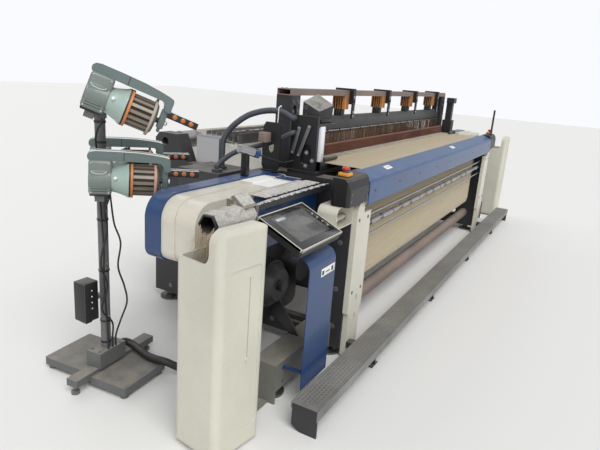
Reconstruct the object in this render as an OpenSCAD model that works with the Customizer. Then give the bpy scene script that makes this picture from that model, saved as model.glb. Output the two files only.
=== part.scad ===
// Wide rapier power loom with its weft feeders.
// X runs along the weft, the weaver stands on the -Y side, Z is up, sizes are millimetres.
// Depths count from a datum line across the loom, just behind the heald frames. The drawn
// pieces are moved so that the origin is on the floor, in the middle of the floor plan.

/* [Frame] */
// Distance from the warp's edge to the middle of a side frame
side_room = 230; // [200:5:300]
// Thickness of a side frame
side_t = 110; // [80:5:140]
// Thickness of the web between a side frame's ribs
web_t = 50; // [30:5:70]
// Height of the underside of the frame above the floor
foot_h = 60; // [45:5:80]
// Depth from the datum line to the front edge of a side frame
frame_front = 900; // [880:5:920]
// Depth from the datum line to the back edge of a side frame
frame_back = 650; // [620:10:700]
// Diameter of a levelling pad
pad_d = 150; // [100:10:200]

/* [Cloth line] */
// Height of the cloth and warp at the fell
cloth_z = 1160; // [1120:5:1200]
// Width of the warp in the reed
warp_w = 3340; // [2800:20:3340]
// Distance from the warp's edge to the end of a heald frame
heald_over = 20; // [16:1:30]
// Distance of the fell in front of the datum line
fell_y = 480; // [470:2:495]
// Thickness given to the cloth and to the warp sheet
sheet_t = 2; // [1:0.5:3]
// Gap left where a curved face rests on another piece
rest_gap = 0.3; // [0.2:0.05:0.5]

/* [Breast beam] */
// Radius of the nose bar that the cloth turns over
nose_r = 26; // [20:1:32]
// Distance of the nose bar in front of the datum line
nose_y = 790; // [780:2:800]
// Depth of the breast beam's box section
breast_d = 80; // [60:5:100]
// Height of the breast beam's box section
breast_h = 110; // [80:5:130]
// Wall of the breast beam's box section
breast_wall = 8; // [5:1:12]
// Depth of the front cover from its front face to its back edge
cover_d = 120; // [100:5:130]
// Height of the front cover's face
cover_h = 145; // [110:5:170]
// Sheet thickness of the front cover
cover_t = 5; // [3:1:8]

/* [Sley and reed] */
// Height of the rocker shaft
rocker_z = 480; // [420:10:560]
// Distance of the rocker shaft in front of the datum line
rocker_y = 400; // [395:1:410]
// Radius of the rocker shaft
rocker_r = 40; // [30:2:50]
// Number of sley swords
swords = 5; // [3:1:9]
// Thickness of a sley sword
sword_t = 36; // [20:2:50]
// Distance of the reed in front of the datum line, with the sley back
reed_y = 388; // [385:1:395]
// Thickness of the reed's baulks
reed_t = 10; // [8:1:14]
// Height of the reed above the sley beam
reed_h = 116; // [90:2:130]
// Number of gaps shown in the reed
reed_gaps = 110; // [60:1:118]
// Share of the pitch taken by one reed dent
dent_share = 0.4; // [0.3:0.05:0.6]

/* [Heald frames] */
// Thickness of a heald frame
heald_t = 12; // [9:1:14]
// Distance between neighbouring heald frames
heald_pitch = 20; // [18:0.5:22]
// Distance of the first heald frame in front of the datum line
heald_y = 318; // [310:1:320]
// Height of a heald frame's top beam
heald_beam_h = 90; // [70:5:110]
// Height from the cloth line to the top of a heald frame
heald_up = 260; // [240:5:270]
// Height from the cloth line down to the foot of a heald frame
heald_down = 270; // [240:5:280]
// Number of healds shown in a frame
healds = 68; // [40:1:90]
// Width of one heald as shown
heald_w = 8; // [5:1:12]
// Stroke of a heald frame each way from level
shed_stroke = 40; // [30:1:42]
// Side play of a heald frame in its grooves
groove_gap = 0.6; // [0.4:0.1:1]

/* [Top rail] */
// Height of the underside of the top rail
rail_z = 1570; // [1560:5:1600]
// Height of the top rail's section
rail_h = 40; // [30:5:60]
// Depth of the top rail's section
rail_d = 100; // [80:5:120]
// Distance between neighbouring guide blocks
guide_pitch = 772; // [600:10:800]
// Width of a guide block
block_w = 70; // [50:5:100]

/* [Warp side] */
// Distance of the warp beam behind the datum line
beam_y = 510; // [490:5:520]
// Height of the warp beam
beam_z = 520; // [500:10:560]
// Radius of the warp beam's barrel
barrel_r = 110; // [80:5:150]
// Radius of a beam flange
flange_r = 390; // [350:5:400]
// Thickness of a beam flange
flange_t = 16; // [10:1:24]
// Radius of the wound warp
yarn_r = 320; // [200:5:340]
// Radius of the back rest roller
rest_r = 62; // [50:1:75]
// Distance of the back rest roller behind the datum line
rest_y = 560; // [540:5:570]
// Height of the back rest roller
rest_z = 1185; // [1170:5:1200]
// Number of drop-wire bars
drop_bars = 4; // [2:1:6]

/* [Cloth take-up] */
// Radius of the take-up roller
take_r = 78; // [60:1:85]
// Height of the take-up roller
take_z = 860; // [830:5:880]
// Radius of the wound cloth
cloth_r = 84; // [60:2:110]
// Height of the cloth roll
cloth_roll_z = 430; // [400:5:480]
// Radius of a roller's journal
journal_r = 28; // [20:1:32]
// Radius of a front guard rod
rod_r = 9; // [6:1:12]

/* [Drive housings] */
// Length of a drive housing outside its side frame
housing_l = 1045; // [900:5:1100]
// Distance from the left housing's end to the drive case below it
case_inset = 485; // [440:5:560]
// Width of the control cabinet behind the right end
cabinet_w = 330; // [280:10:400]
// Depth of the control cabinet
cabinet_d = 560; // [480:10:600]
// Height of the control cabinet
cabinet_h = 860; // [700:10:880]
// Thickness of the control cabinet's door
door_t = 12; // [8:1:20]
// Length of a base beam beside the side frame
base_l = 650; // [560:10:760]
// Height of a base beam
base_h = 160; // [120:5:180]
// Height of a drive housing
housing_h = 320; // [260:5:360]
// Height of a drive housing's top
housing_top = 1125; // [1100:5:1140]
// Corner radius of a drive housing's top
housing_r = 120; // [80:5:140]
// Distance from the datum line to a housing's back face
housing_back = 300; // [290:5:320]
// Depth of the coloured back layer
layer_1 = 95; // [60:5:100]
// Depth of the main cover layer
layer_2 = 80; // [60:5:90]
// Depth of the front arch layer
layer_3 = 115; // [90:5:120]
// Step in from one housing layer to the next
layer_step = 8; // [4:1:12]
// Wall of the housing's main cover
housing_wall = 6; // [4:1:10]

/* [Step] */
// Distance from the loom's middle to each end of the foot step
step_x = 2740; // [2200:10:2760]
// Width of the foot step
step_w = 150; // [120:5:160]
// Height of the foot step's tread
step_z = 160; // [130:5:200]
// Depth from the datum line to the front of the step
step_front = 1160; // [1150:5:1200]
// Height of the step's front lip
lip_h = 60; // [40:5:80]
// Sheet thickness of the step
step_t = 4; // [3:0.5:6]

/* [Waste bin] */
// Width of the waste bin along the loom
bin_w = 296; // [260:4:300]
// Distance from a housing's end to the outer side of the right bin
bin_out = 168; // [160:2:190]
// Depth of the waste bin, front to back
bin_d = 273; // [240:3:279]
// Height of the waste bin's front wall
bin_h = 1088; // [1000:4:1110]
// Height of the waste bin's low rim
bin_rim = 932; // [860:4:960]
// Thickness of the waste bin's moulded wall
bin_wall = 16; // [8:1:24]
// Corner radius of the waste bin
bin_r = 36; // [20:2:50]

/* [Terminal] */
// Width of the operator terminal
term_w = 420; // [380:5:440]
// Height of the operator terminal's face
term_h = 280; // [240:5:300]
// Thickness of the operator terminal
term_t = 42; // [30:2:50]
// Lean of the operator terminal from level
term_tilt = 24; // [10:1:35]

/* [Weft feeders] */
// Length of a weft feeder's drum
drum_l = 120; // [90:5:140]
// Radius of a weft feeder's drum
drum_r = 76; // [60:2:80]
// Number of slats round a feeder's drum
drum_slats = 16; // [10:1:24]
// Height of the feeder stand's post
post_h = 1360; // [1200:10:1420]

/* [Hidden] */
$fn = 48;

cream = [0.84, 0.82, 0.74];
blue = [0.13, 0.24, 0.47];
dark = [0.16, 0.16, 0.17];
steel = [0.62, 0.63, 0.64];

// Places that follow from the driving sizes
frame_x = warp_w / 2 + side_room;
inner_x = frame_x - side_t / 2;
outer_x = frame_x + side_t / 2;
head_z = cloth_z - 40;
shoulder_z = cloth_z - 145;
shoulder_y = -frame_front + 130;
take_y = -(nose_y + nose_r - take_r);
cloth_roll_y = take_y - take_r + cloth_r;
nose_z = cloth_z - nose_r - rest_gap;
cover_back = -(nose_y + nose_r + sheet_t + 14);
cover_top = cloth_z + 12;
cap_x0 = inner_x + 10;
cap_x1 = outer_x + 190;
cap_front = cover_back - cover_d;
heald_half = warp_w / 2 + heald_over;
heald_top = cloth_z + heald_up;
heald_foot = cloth_z - heald_down;
sley_top = cloth_z - 32;
sley_half = heald_half - 10;
post_x = heald_half + 5;
step_back = -step_front + step_w;
housing_x = outer_x + housing_l;
housing_low = housing_top - housing_h;
case_w = housing_l - case_inset;
disc_x = -outer_x - case_w + 160;
base_y = -830;
clamps = 17;
clamp_room = 65;
arch_front = -(housing_back + layer_1 + layer_2 + layer_3);
side_reach = housing_x + bin_out;
bin_at = [-side_reach - 5, -880];
bin_turn = -8;
bin_right = [side_reach - bin_w, -975];
tube_y = arch_front - 130;
tube_z = cloth_z - 95;
tube_x = bin_at[0] + 113;
bracket_x = -housing_x + 240;
term_x = -outer_x - 559;
term_y = -875;
term_z = 986;
hinge_drop = 75;
term_hinge_y = term_y + hinge_drop * sin(term_tilt);
term_hinge_z = term_z - hinge_drop * cos(term_tilt);
estop_x = outer_x + 105;
estop_y = cap_front + 74;
stem_r = 11;
button_lift = 8;
cowl_top = shoulder_z - 2;
stop_x = -cap_x1 + 95;
stop_y = -frame_front + 88;
feeder_yaw = -43;
feeder_foot = -70;
mid_y = (step_front - beam_y - flange_r) / 2;
cap_w = 170;
cap_z = cloth_z + 262;
finger_x = -outer_x + 144;
finger_y = -520;
finger_z = cap_z + 36;

// Moves a piece from the datum line to the middle of the floor plan
module centred() {
    translate([0, mid_y, 0]) children();
}

// Rounded rectangle with its low corner at the origin
module rounded(w, h, r) {
    translate([r, 0]) square([w - 2 * r, h]);
    translate([0, r]) square([w, h - 2 * r]);
    for (x = [r, w - r], y = [r, h - r]) translate([x, y]) circle(r = r);
}

// Loaf outline: flat foot, the two top corners rounded by r and the two low ones by q
module loaf(w, h, r, q) {
    translate([0, q]) square([w, h - r - q]);
    translate([q, 0]) square([w - 2 * q, h / 2]);
    translate([r, h / 2]) square([w - 2 * r, h / 2]);
    for (x = [r, w - r]) translate([x, h - r]) circle(r = r, $fn = 64);
    for (x = [q, w - q]) translate([x, q]) circle(r = q);
}

// Stands a Y-Z outline up and gives it thickness t, centred on x
module yz(x, t) {
    translate([x - t / 2, 0, 0]) rotate([90, 0, 90]) linear_extrude(t) children();
}

// Stands an X-Z outline up, from y to y + t
module xz(y, t) {
    translate([0, y + t, 0]) rotate([90, 0, 0]) linear_extrude(t) children();
}

// Lays an X-Y outline flat, from z to z + t
module xy(z, t) {
    translate([0, 0, z]) linear_extrude(t) children();
}

// Round bar along X from x0 to x1
module bar_x(x0, x1, y, z, r) {
    translate([x0, y, z]) rotate([0, 90, 0]) cylinder(r = r, h = x1 - x0);
}

// The same piece on both sides of the loom
module both_sides() {
    children();
    mirror([1, 0, 0]) children();
}

function arc(cx, cy, r, a0, a1, n) =
    [for (i = [0:n]) let (a = a0 + (a1 - a0) * i / n) [cx + r * cos(a), cy + r * sin(a)]];
function unit(v) = v / norm(v);
function left_of(a, b) = let (d = unit(b - a)) [-d[1], d[0]];
function corner_normal(p, i) =
    i == 0 ? left_of(p[0], p[1])
    : i == len(p) - 1 ? left_of(p[i - 1], p[i])
    : let (a = left_of(p[i - 1], p[i]), b = left_of(p[i], p[i + 1])) (a + b) / (1 + a * b);

// Outline of a sheet of thickness t that lies to the left of the path p
function sheet(p, t) =
    concat(p, [for (i = [len(p) - 1:-1:0]) p[i] + t * corner_normal(p, i)]);

// Side frames: a cast web with rims, windows and the shaft bores
module side_outline() {
    polygon([
        [-frame_front, foot_h], [-frame_front, shoulder_z], [shoulder_y, shoulder_z],
        [shoulder_y, head_z], [-frame_front + 620, head_z], [-frame_front + 700, head_z - 60],
        [rest_y - 190, head_z - 60], [rest_y - 110, rest_z + 60], [rest_y + 55, rest_z + 60],
        [frame_back, rest_z + 20], [frame_back, foot_h]
    ]);
}

module side_windows(grow) {
    translate([-frame_front + 240 - grow, foot_h + 120 - grow])
        rounded(240 + 2 * grow, 210 + 2 * grow, 40);
    translate([-frame_front + 560 - grow, foot_h + 120 - grow])
        rounded(420 + 2 * grow, 230 + 2 * grow, 50);
    translate([-frame_front + 620 - grow, foot_h + 520 - grow])
        rounded(380 + 2 * grow, 300 + 2 * grow, 60);
    translate([-frame_front + 210 - grow, foot_h + 500 - grow])
        rounded(190 + 2 * grow, 160 + 2 * grow, 40);
}

module side_frame(side) {
    x = side * frame_x;
    difference() {
        yz(x, side_t) side_outline();
        yz(x, side_t + 2) side_windows(0);
        for (s = [-1, 1])
            yz(x + s * (side_t + web_t) / 4, (side_t - web_t) / 2 + 0.01)
                side_windows(32);
        for (b = [
            [-rocker_y, rocker_z, rocker_r], [beam_y, beam_z, journal_r + 12],
            [rest_y, rest_z, journal_r], [take_y, take_z, journal_r],
            [cloth_roll_y, cloth_roll_z, journal_r]
        ])
            bar_x(x - side_t, x + side_t, b[0], b[1], b[2] + rest_gap);
    }
}

module side_frame_left() {
    color(dark) side_frame(-1);
}

module side_frame_right() {
    color(dark) side_frame(1);
}

// Cross beams: a round tie at the front, box beams at the back and under the warp
module cross_beams() {
    color([0.2, 0.2, 0.22]) {
        difference() {
            bar_x(-inner_x, inner_x, -760, 215, 50);
            bar_x(-inner_x - 1, inner_x + 1, -760, 215, 42);
        }
        for (b = [[-20, 130, 120, 130], [30, cloth_z - 300, 90, 140]])
            difference() {
                translate([-inner_x, b[0], b[1]]) cube([2 * inner_x, b[2], b[3]]);
                translate([-inner_x - 1, b[0] + 10, b[1] + 10])
                    cube([2 * inner_x + 2, b[2] - 20, b[3] - 20]);
            }
    }
}

// Base beams carry the drive side outside each side frame
module base_beams() {
    color([0.5, 0.5, 0.48]) both_sides() {
        difference() {
            translate([outer_x, base_y, foot_h]) cube([base_l, 150, base_h]);
            translate([outer_x - 1, base_y + 10, foot_h + 10])
                cube([base_l + 2, 130, base_h - 20]);
        }
        translate([outer_x + base_l, base_y - 10, 0]) cube([10, 170, foot_h + base_h + 10]);
        translate([outer_x + base_l, base_y + 30, 0])
            cube([bin_right[0] + 133 - outer_x - base_l, 60, 8]);
    }
}

module levelling_foot(x, y) {
    translate([x, y, 0]) {
        cylinder(d = pad_d, h = 14);
        translate([0, 0, 14]) cylinder(d1 = pad_d * 0.7, d2 = 50, h = 12);
        translate([0, 0, 26]) cylinder(d = 36, h = foot_h - 26);
        translate([0, 0, 32]) cylinder(d = 62, h = 14, $fn = 6);
    }
}

module levelling_feet() {
    color([0.3, 0.3, 0.3]) both_sides() {
        for (y = [-frame_front + 100, -60, frame_back - 100]) levelling_foot(frame_x, y);
        levelling_foot(outer_x + base_l - 90, base_y + 75);
    }
}

// Foot step: one folded sheet with a deep front lip
module step_board() {
    path = [
        [-step_front, step_z - lip_h], [-step_front, step_z],
        [step_back, step_z], [step_back, step_z - 36]
    ];
    color([0.42, 0.43, 0.42])
        yz(0, 2 * step_x)
            polygon(sheet(path, -step_t));
}

// Stands, end plates and the arms that hold the step to the loom
module step_brackets() {
    low = step_z - step_t;
    color([0.1, 0.1, 0.1]) {
        for (s = [-1, 1]) {
            yz(s * (step_x - 12), 8)
                polygon([
                    [-step_front + step_t, 0], [-step_front + step_t, low], [step_back - step_t, low],
                    [step_back - step_t, 30], [step_back - 50, 0]
                ]);
            for (x = [s * frame_x, s * frame_x / 3]) {
                yz(x, 10)
                    polygon([
                        [-step_front + step_t, low - 50], [-step_front + step_t, low],
                        [step_back - step_t, low], [step_back - step_t, 8],
                        [-step_front + 30, 8], [-step_front + 30, low - 80]
                    ]);
                translate([x - 45, -step_front + 30, 0]) cube([90, step_w - 30 - step_t, 8]);
            }
            translate([s * frame_x - 30, step_back - step_t, 70])
                cube([60, -frame_front - 34 - step_back + step_t, 40]);
        }
    }
}

// Breast beam: a box section with the nose bar that turns the cloth down
module breast_beam() {
    y0 = -nose_y + 20;
    color(dark) {
        difference() {
            translate([-inner_x, y0, head_z - breast_h - 10]) cube([2 * inner_x, breast_d, breast_h]);
            translate([-inner_x - 1, y0 + breast_wall, head_z - breast_h - 10 + breast_wall])
                cube([2 * inner_x + 2, breast_d - 2 * breast_wall, breast_h - 2 * breast_wall]);
        }
        bar_x(-inner_x, inner_x, -nose_y, nose_z, nose_r);
        translate([-inner_x, -nose_y, nose_z - 24]) cube([2 * inner_x, 60, 12]);
    }
}

// Front cover: a folded and rolled sheet from the cloth edge down to the lower lip
module breast_cover() {
    front = cap_front;
    low = cover_top - 55 - cover_h;
    path = concat(
        [[cover_back, cover_top - 14]],
        arc(cover_back - 10, cover_top - 10, 10, 60, 110, 3),
        arc(front + 26, cover_top - 62, 26, 115, 180, 6),
        arc(front + 24, low + 24, 24, 180, 250, 5),
        [[front + 46, low - 18]]
    );
    color(blue) yz(0, 2 * (inner_x + 10)) polygon(sheet(path, cover_t));
    color(blue) both_sides()
        translate([inner_x - 50, front + cover_t - 1, shoulder_z + 25])
            cube([40, -nose_y + 20 - front - cover_t + 1, 50]);
}

// Corner caps close the ends of the front cover
module corner_caps() {
    w = cap_x1 - cap_x0;
    d = cover_d - 4;
    color([0.22, 0.21, 0.2]) both_sides()
        difference() {
            translate([cap_x0, cap_front, shoulder_z])
                xy(0, cover_top - shoulder_z) rounded(w, d, 22);
            translate([cap_x0 - 1, cap_front, cover_top])
                rotate([0, 90, 0]) linear_extrude(w + 2)
                    polygon([[-1, -1], [62, -1], [18, 16], [4, 30], [-1, 40]]);
            translate([cap_x0 + 12, cap_front + 12, shoulder_z - 1])
                cube([w - 24, d - 24, 90]);
        }
}

// Front columns: curved covers on the front edges of the side frames
module front_columns() {
    w = 205;
    color(cream) both_sides()
        difference() {
            union() {
                translate([frame_x - 150, 0, 0]) xz(-frame_front - 34, 34) {
                    translate([0, 300]) loaf(w, shoulder_z - 302, 70, 8);
                    translate([20, 20]) square([w - 40, 300]);
                }
            }
            translate([frame_x - 151, -frame_front - 40, cover_top - 236])
                cube([inner_x + 10 - frame_x + 152, 60, 260]);
            for (h = [360, 230])
                translate([frame_x - 70, -frame_front - 40, h]) cube([22, 60, 46]);
        }
}

// Cloth: from the fell over the nose bar and down past the take-up roller to the cloth roll
module cloth() {
    path = concat(
        [[-fell_y, cloth_z]],
        arc(-nose_y, nose_z, nose_r + rest_gap, 90, 180, 8),
        [[cloth_roll_y - cloth_r - rest_gap, cloth_roll_z]]
    );
    color([0.72, 0.68, 0.56])
        yz(0, warp_w) polygon(sheet(path, -sheet_t));
}

// Temple bar: a ribbed bar across the cloth just in front of the fell
module temple_bar() {
    y = -fell_y - 60;
    color(dark) {
        translate([-sley_half, y - 22, cloth_z - 40]) cube([2 * sley_half, 44, 34]);
        both_sides() translate([sley_half, y - 22, cloth_z - 40])
            cube([inner_x + 10 - sley_half, 44, 34]);
    }
    color(steel) both_sides() {
        bar_x(warp_w / 2 - 190, warp_w / 2 + 10, y + 4, cloth_z + 18, 13);
        translate([warp_w / 2 + 10, y - 16, cloth_z - 6]) cube([14, 36, 42]);
    }
}

// Guard rods under the front cover, with the clamp shaft between them
module guard_rods() {
    y = -frame_front + 28;
    pitch = (2 * inner_x - clamp_room - 345) / (clamps - 1);
    color(steel) {
        bar_x(-inner_x, inner_x, y, cloth_z - 290, rod_r);
        bar_x(-inner_x, inner_x, y, cloth_z - 430, rod_r * 0.8);
        bar_x(-inner_x, inner_x, y + 6, cloth_z - 352, rod_r * 1.3);
        for (i = [0:clamps - 1]) translate([clamp_room - inner_x + i * pitch, 0, 0])
            bar_x(0, 90 + 50 * (i % 3), y + 6, cloth_z - 352, 20);
    }
}

// Top rail over the heald frames
module top_rail() {
    y0 = -heald_y - 28;
    color([0.3, 0.3, 0.3]) difference() {
        translate([-inner_x + 30, y0, rail_z]) cube([2 * inner_x - 60, rail_d, rail_h]);
        translate([-inner_x + 24, y0 + 5, rail_z + 5])
            cube([2 * inner_x - 48, rail_d - 10, rail_h - 10]);
    }
}

function guide_x(i) = (i - 1.5) * guide_pitch + 185;
function heald_at(i) = -heald_y + i * heald_pitch;

// Hangers clamped on the top rail, one beside each guide block
module frame_guides() {
    y0 = -heald_y - 28;
    color([0.08, 0.08, 0.08])
        for (i = [0:3]) translate([guide_x(i) + block_w / 2, 0, 0]) {
            difference() {
                translate([0, y0 - 34, rail_z - 62]) cube([46, rail_d + 54, rail_h + 76]);
                translate([-1, y0 - rest_gap, rail_z - rest_gap])
                    cube([48, rail_d + 2 * rest_gap, rail_h + 2 * rest_gap]);
                translate([-1, y0, rail_z - 64]) cube([48, rail_d - 8, 52]);
            }
            translate([4, y0 - 34, rail_z - 170]) cube([38, 12, 110]);
            translate([23, y0 - 42, rail_z - 40]) rotate([-90, 0, 0]) cylinder(d = 18, h = 8, $fn = 6);
        }
}

// Slotted wooden blocks that keep the heald frames apart
module guide_blocks() {
    y0 = -heald_y - 28;
    color([0.78, 0.5, 0.27])
        for (i = [0:3]) difference() {
            translate([guide_x(i) - block_w / 2, y0, rail_z - 100])
                cube([block_w, rail_d + 4, 100 - rest_gap]);
            for (k = [0:3])
                translate([guide_x(i) - block_w / 2 - 1, heald_at(k) - heald_t / 2 - groove_gap, rail_z - 101])
                    cube([block_w + 2, heald_t + 2 * groove_gap, 93]);
        }
}

// Uprights: grooved posts in which the ends of the heald frames slide
module uprights() {
    y0 = -heald_y - 32;
    d = rail_d + 12;
    color(dark) both_sides() {
        difference() {
            translate([post_x, y0, heald_foot - 60]) cube([110, d, rail_z - heald_foot + 60]);
            for (k = [0:3])
                translate([post_x - 1, heald_at(k) - heald_t / 2 - groove_gap, heald_foot - 61])
                    cube([21, heald_t + 2 * groove_gap, rail_z - heald_foot + 55]);
            translate([post_x + 45, y0 - 1, heald_top - 60]) xz(0, d + 2) rounded(40, 150, 16);
        }
        translate([post_x + 110, y0 + 10, head_z - 260]) cube([inner_x - post_x - 110, d - 20, 220]);
    }
}

// Drive housings: nested rounded layers that grow towards the front
module housing_layer(step, y, t) {
    xz(y - t, t) translate([outer_x + 2 * step, housing_low + step])
        loaf(housing_l - 3 * step, housing_h - 2 * step, housing_r - step, 60 - step);
}

module housing_backs() {
    color(blue) both_sides() housing_layer(0, -housing_back, layer_1);
}

module housing_covers() {
    s = layer_step;
    y1 = -housing_back - layer_1;
    color(cream) both_sides()
        difference() {
            union() {
                housing_layer(s, y1, layer_2);
                housing_layer(2 * s, y1 - layer_2, layer_3);
            }
            translate([0, 0.01, 0]) xz(y1 - layer_2, layer_2)
                translate([outer_x + 2 * s + housing_wall, housing_low + s + housing_wall])
                    loaf(housing_l - 3 * s - 2 * housing_wall, housing_h - 2 * (s + housing_wall),
                        housing_r - s - housing_wall, 60 - s - housing_wall);
        }
}

// Coloured caps on the front of the housings, near the loom
module housing_caps() {
    color(blue) both_sides()
        xz(arch_front - 90, 90)
            translate([outer_x + 45, housing_low + 20]) loaf(560, housing_h - 50, 90, 20);
}

// Drive case with its motor and brake, outside the left frame and under the housing
module drive_case() {
    front = -560;
    low = 300;
    color([0.12, 0.12, 0.13]) {
        xz(front, 360) translate([-outer_x - case_w, low]) loaf(case_w, housing_low - low, 40, 60);
        translate([disc_x, front, 560]) rotate([90, 0, 0]) cylinder(d = 270, h = 70);
        translate([disc_x, front - 70, 560]) rotate([90, 0, 0])
            cylinder(d1 = 250, d2 = 180, h = 50);
        translate([disc_x, front - 120, 560]) rotate([90, 0, 0]) cylinder(d = 60, h = 26);
        translate([-outer_x - 150, front, 600]) rotate([90, 0, 0]) cylinder(d = 170, h = 120);
        yz(-outer_x - 280, 12) polygon([
            [-760, foot_h + 160], [-690, foot_h + 160], [front, 340], [front, 430], [-600, 430]
        ]);
    }
}

// Curved cowl between the left housing and the front column
module side_cowl() {
    x0 = outer_x;
    w = cap_x1 + 36 - x0;
    h = 128;
    color(cream) difference() {
        mirror([1, 0, 0]) difference() {
            translate([x0, 0, cowl_top - h]) xz(-frame_front - 4, 120) loaf(w, h, 46, 6);
            translate([x0 + 7, 0, cowl_top - h + 6]) xz(-frame_front - 6, 96)
                loaf(w - 14, h - 13, 40, 4);
            bar_x(x0 - 1, x0 + w + 1, term_hinge_y, term_hinge_z, 20);
        }
        translate([stop_x, stop_y, cowl_top - 30]) cylinder(r = stem_r + rest_gap, h = 40);
    }
}

// Waste bin: a moulded bin, high at the front and scooped down at the back
module bin_body(inset) {
    h = bin_h + 1;
    xy(inset > 0 ? 40 : 8, h)
        translate([inset, inset]) rounded(bin_w - 2 * inset, bin_d - 2 * inset, bin_r - inset / 2);
}

module bin() {
    top = bin_h - 8;
    difference() {
        intersection() {
            bin_body(0);
            xz(-1, bin_d + 2) translate([0, 8]) loaf(bin_w, bin_h - 8, 60, 40);
            yz(bin_w / 2, bin_w + 2) difference() {
                translate([0, 8]) loaf(bin_d, top, 30, 30);
                translate([66, bin_rim]) {
                    translate([50, 0]) square([bin_d, 300]);
                    translate([0, 50]) square([bin_d, 300]);
                    translate([50, 50]) circle(r = 50);
                }
            }
        }
        difference() {
            bin_body(bin_wall);
            xz(0, 62) translate([0, bin_h - 62]) square([bin_w, 70]);
        }
        xz(-1, 5) translate([62, 120]) rounded(bin_w - 102, bin_h - 300, 18);
        translate([bin_w - 112, 3, 480]) cube([5, 6, 380]);
    }
    translate([bin_w - 110, 4, 468]) rotate([90, 0, 0]) cylinder(d = 22, h = 5);
}

module waste_bin_left() {
    color(cream) translate([bin_at[0], bin_at[1], 0]) rotate([0, 0, bin_turn]) bin();
}

module waste_bin_right() {
    color(cream) translate([bin_right[0], bin_right[1], 0]) bin();
}

// Hexagonal tube that leads the waste selvedge out to the bin
module waste_tube() {
    color([0.55, 0.53, 0.48]) {
        translate([tube_x, tube_y, tube_z]) rotate([0, 90, 0]) rotate(30) difference() {
            cylinder(d = 100, h = bracket_x - tube_x, $fn = 6);
            translate([0, 0, -1]) cylinder(d = 84, h = bracket_x - tube_x + 2, $fn = 6);
        }
        translate([bracket_x, tube_y - 50, tube_z - 44]) cube([6, 50 + arch_front - tube_y, 88]);
    }
    color(dark) translate([bracket_x - 90, tube_y, tube_z + 43.3]) yz(45, 90)
        polygon([[-25, 0], [25, 0], [60, 40], [40, 52]]);
}

// Black flat bar that carries the waste selvedge along the housing
module selvedge_bar() {
    color(dark) translate([bracket_x + 6, tube_y - 16, tube_z])
        cube([-outer_x - bracket_x - 6, 12, 30]);
}

// Curved panel that hides the cables under the terminal
module cable_guard() {
    y = -960;
    path = concat([[y, 100]], arc(y + 70, 760, 70, 180, 90, 6), [[y + 110, 830]]);
    color(blue) {
        yz(term_x + 106, 293) polygon(sheet(path, -4));
        translate([term_x - 16, y + 4, 180]) cube([20, 126, 12]);
        translate([term_x + 214, y + 4, 180]) cube([20, 126, 12]);
    }
}

// Emergency stop switch bases on the corner caps
module estop_bases() {
    color([0.92, 0.62, 0.1]) both_sides() translate([estop_x, estop_y, cover_top])
        difference() {
            union() {
                translate([-32, -32, 0]) cube([64, 64, 24]);
                translate([0, 0, 24]) cylinder(d = 44, h = 6);
            }
            translate([0, 0, 3]) cylinder(r = stem_r + rest_gap, h = 40);
        }
}

// Mushroom button with a stem that slides in the base
module mushroom(d) {
    translate([0, 0, button_lift]) rotate_extrude() polygon(concat(
        [[0, 0], [d / 2 - 4, 0]], arc(d / 2 - 5, 5, 5, -60, 60, 4), [[d / 4, 13], [0, 14]]));
    translate([0, 0, -18]) cylinder(r = stem_r, h = 18 + button_lift);
}

module estop_button_left() {
    color([0.75, 0.12, 0.1]) translate([-estop_x, estop_y, cover_top + 30]) mushroom(48);
}

module estop_button_right() {
    color([0.75, 0.12, 0.1]) translate([estop_x, estop_y, cover_top + 30]) mushroom(48);
}

module stop_button() {
    color([0.75, 0.12, 0.1]) translate([stop_x, stop_y, cowl_top]) {
        translate([0, 0, -16]) cylinder(r = stem_r, h = 17 + button_lift);
        translate([0, 0, button_lift]) cylinder(d = 34, h = 12);
    }
}

// Left tower: plates and blocks that carry the weft presenter and the lamp
module tower_left() {
    y0 = -640;
    x0 = -outer_x;
    color(dark) {
        translate([x0, y0, head_z]) cube([92, 200, 22]);
        difference() {
            translate([x0 + 10, y0 + 20, head_z + 22])
                cube([24, 180, cap_z + 46 - head_z - 22]);
            translate([x0, y0 + 50, head_z + 60]) yz(22, 60) rounded(70, 120, 20);
        }
        translate([x0 + 34, y0 + 60, head_z + 22]) cube([58, 90, cap_z - head_z - 22]);
        difference() {
            translate([x0 + 10, y0 + 20, cap_z - 12]) cube([cap_w + 95, 150, 12]);
            translate([finger_x - 16, y0 + 110, cap_z - 13]) cube([116, 40, 14]);
        }
        translate([x0 + 92, y0 + 84, head_z + 60]) cube([18, 40, 150]);
        translate([x0 + 50, y0 + 4, head_z + 22]) cube([42, 50, 60]);
        for (z = [head_z + 80, head_z + 150])
            translate([x0 + 64, y0 + 60, z]) rotate([90, 0, 0]) cylinder(d = 26, h = 4);
    }
    color([0.85, 0.86, 0.84])
        translate([x0 + 52, y0 + 8, head_z + 82]) cube([40, 36, cap_z - head_z - 94]);
}

// Cap over the presenter's magnets, with bevelled shoulders
module presenter_cap() {
    x0 = -outer_x + 105;
    y0 = -620;
    color([0.45, 0.45, 0.44]) difference() {
        translate([x0, y0, cap_z]) cube([cap_w, 150, 150]);
        translate([x0 + 12, y0 + 12, cap_z - 1]) cube([cap_w - 24, 126, 70]);
        for (s = [0, 1]) translate([x0 + s * cap_w, y0 + 75, cap_z + 150])
            rotate([0, s == 0 ? 38 : -38, 0]) cube([90, 240, 90], center = true);
        translate([x0 + cap_w / 2, y0, cap_z + 150]) rotate([-32, 0, 0]) cube([400, 90, 60], center = true);
        bar_x(x0 + 4, x0 + cap_w - 4, finger_y, finger_z, 8 + rest_gap);
    }
}

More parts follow.
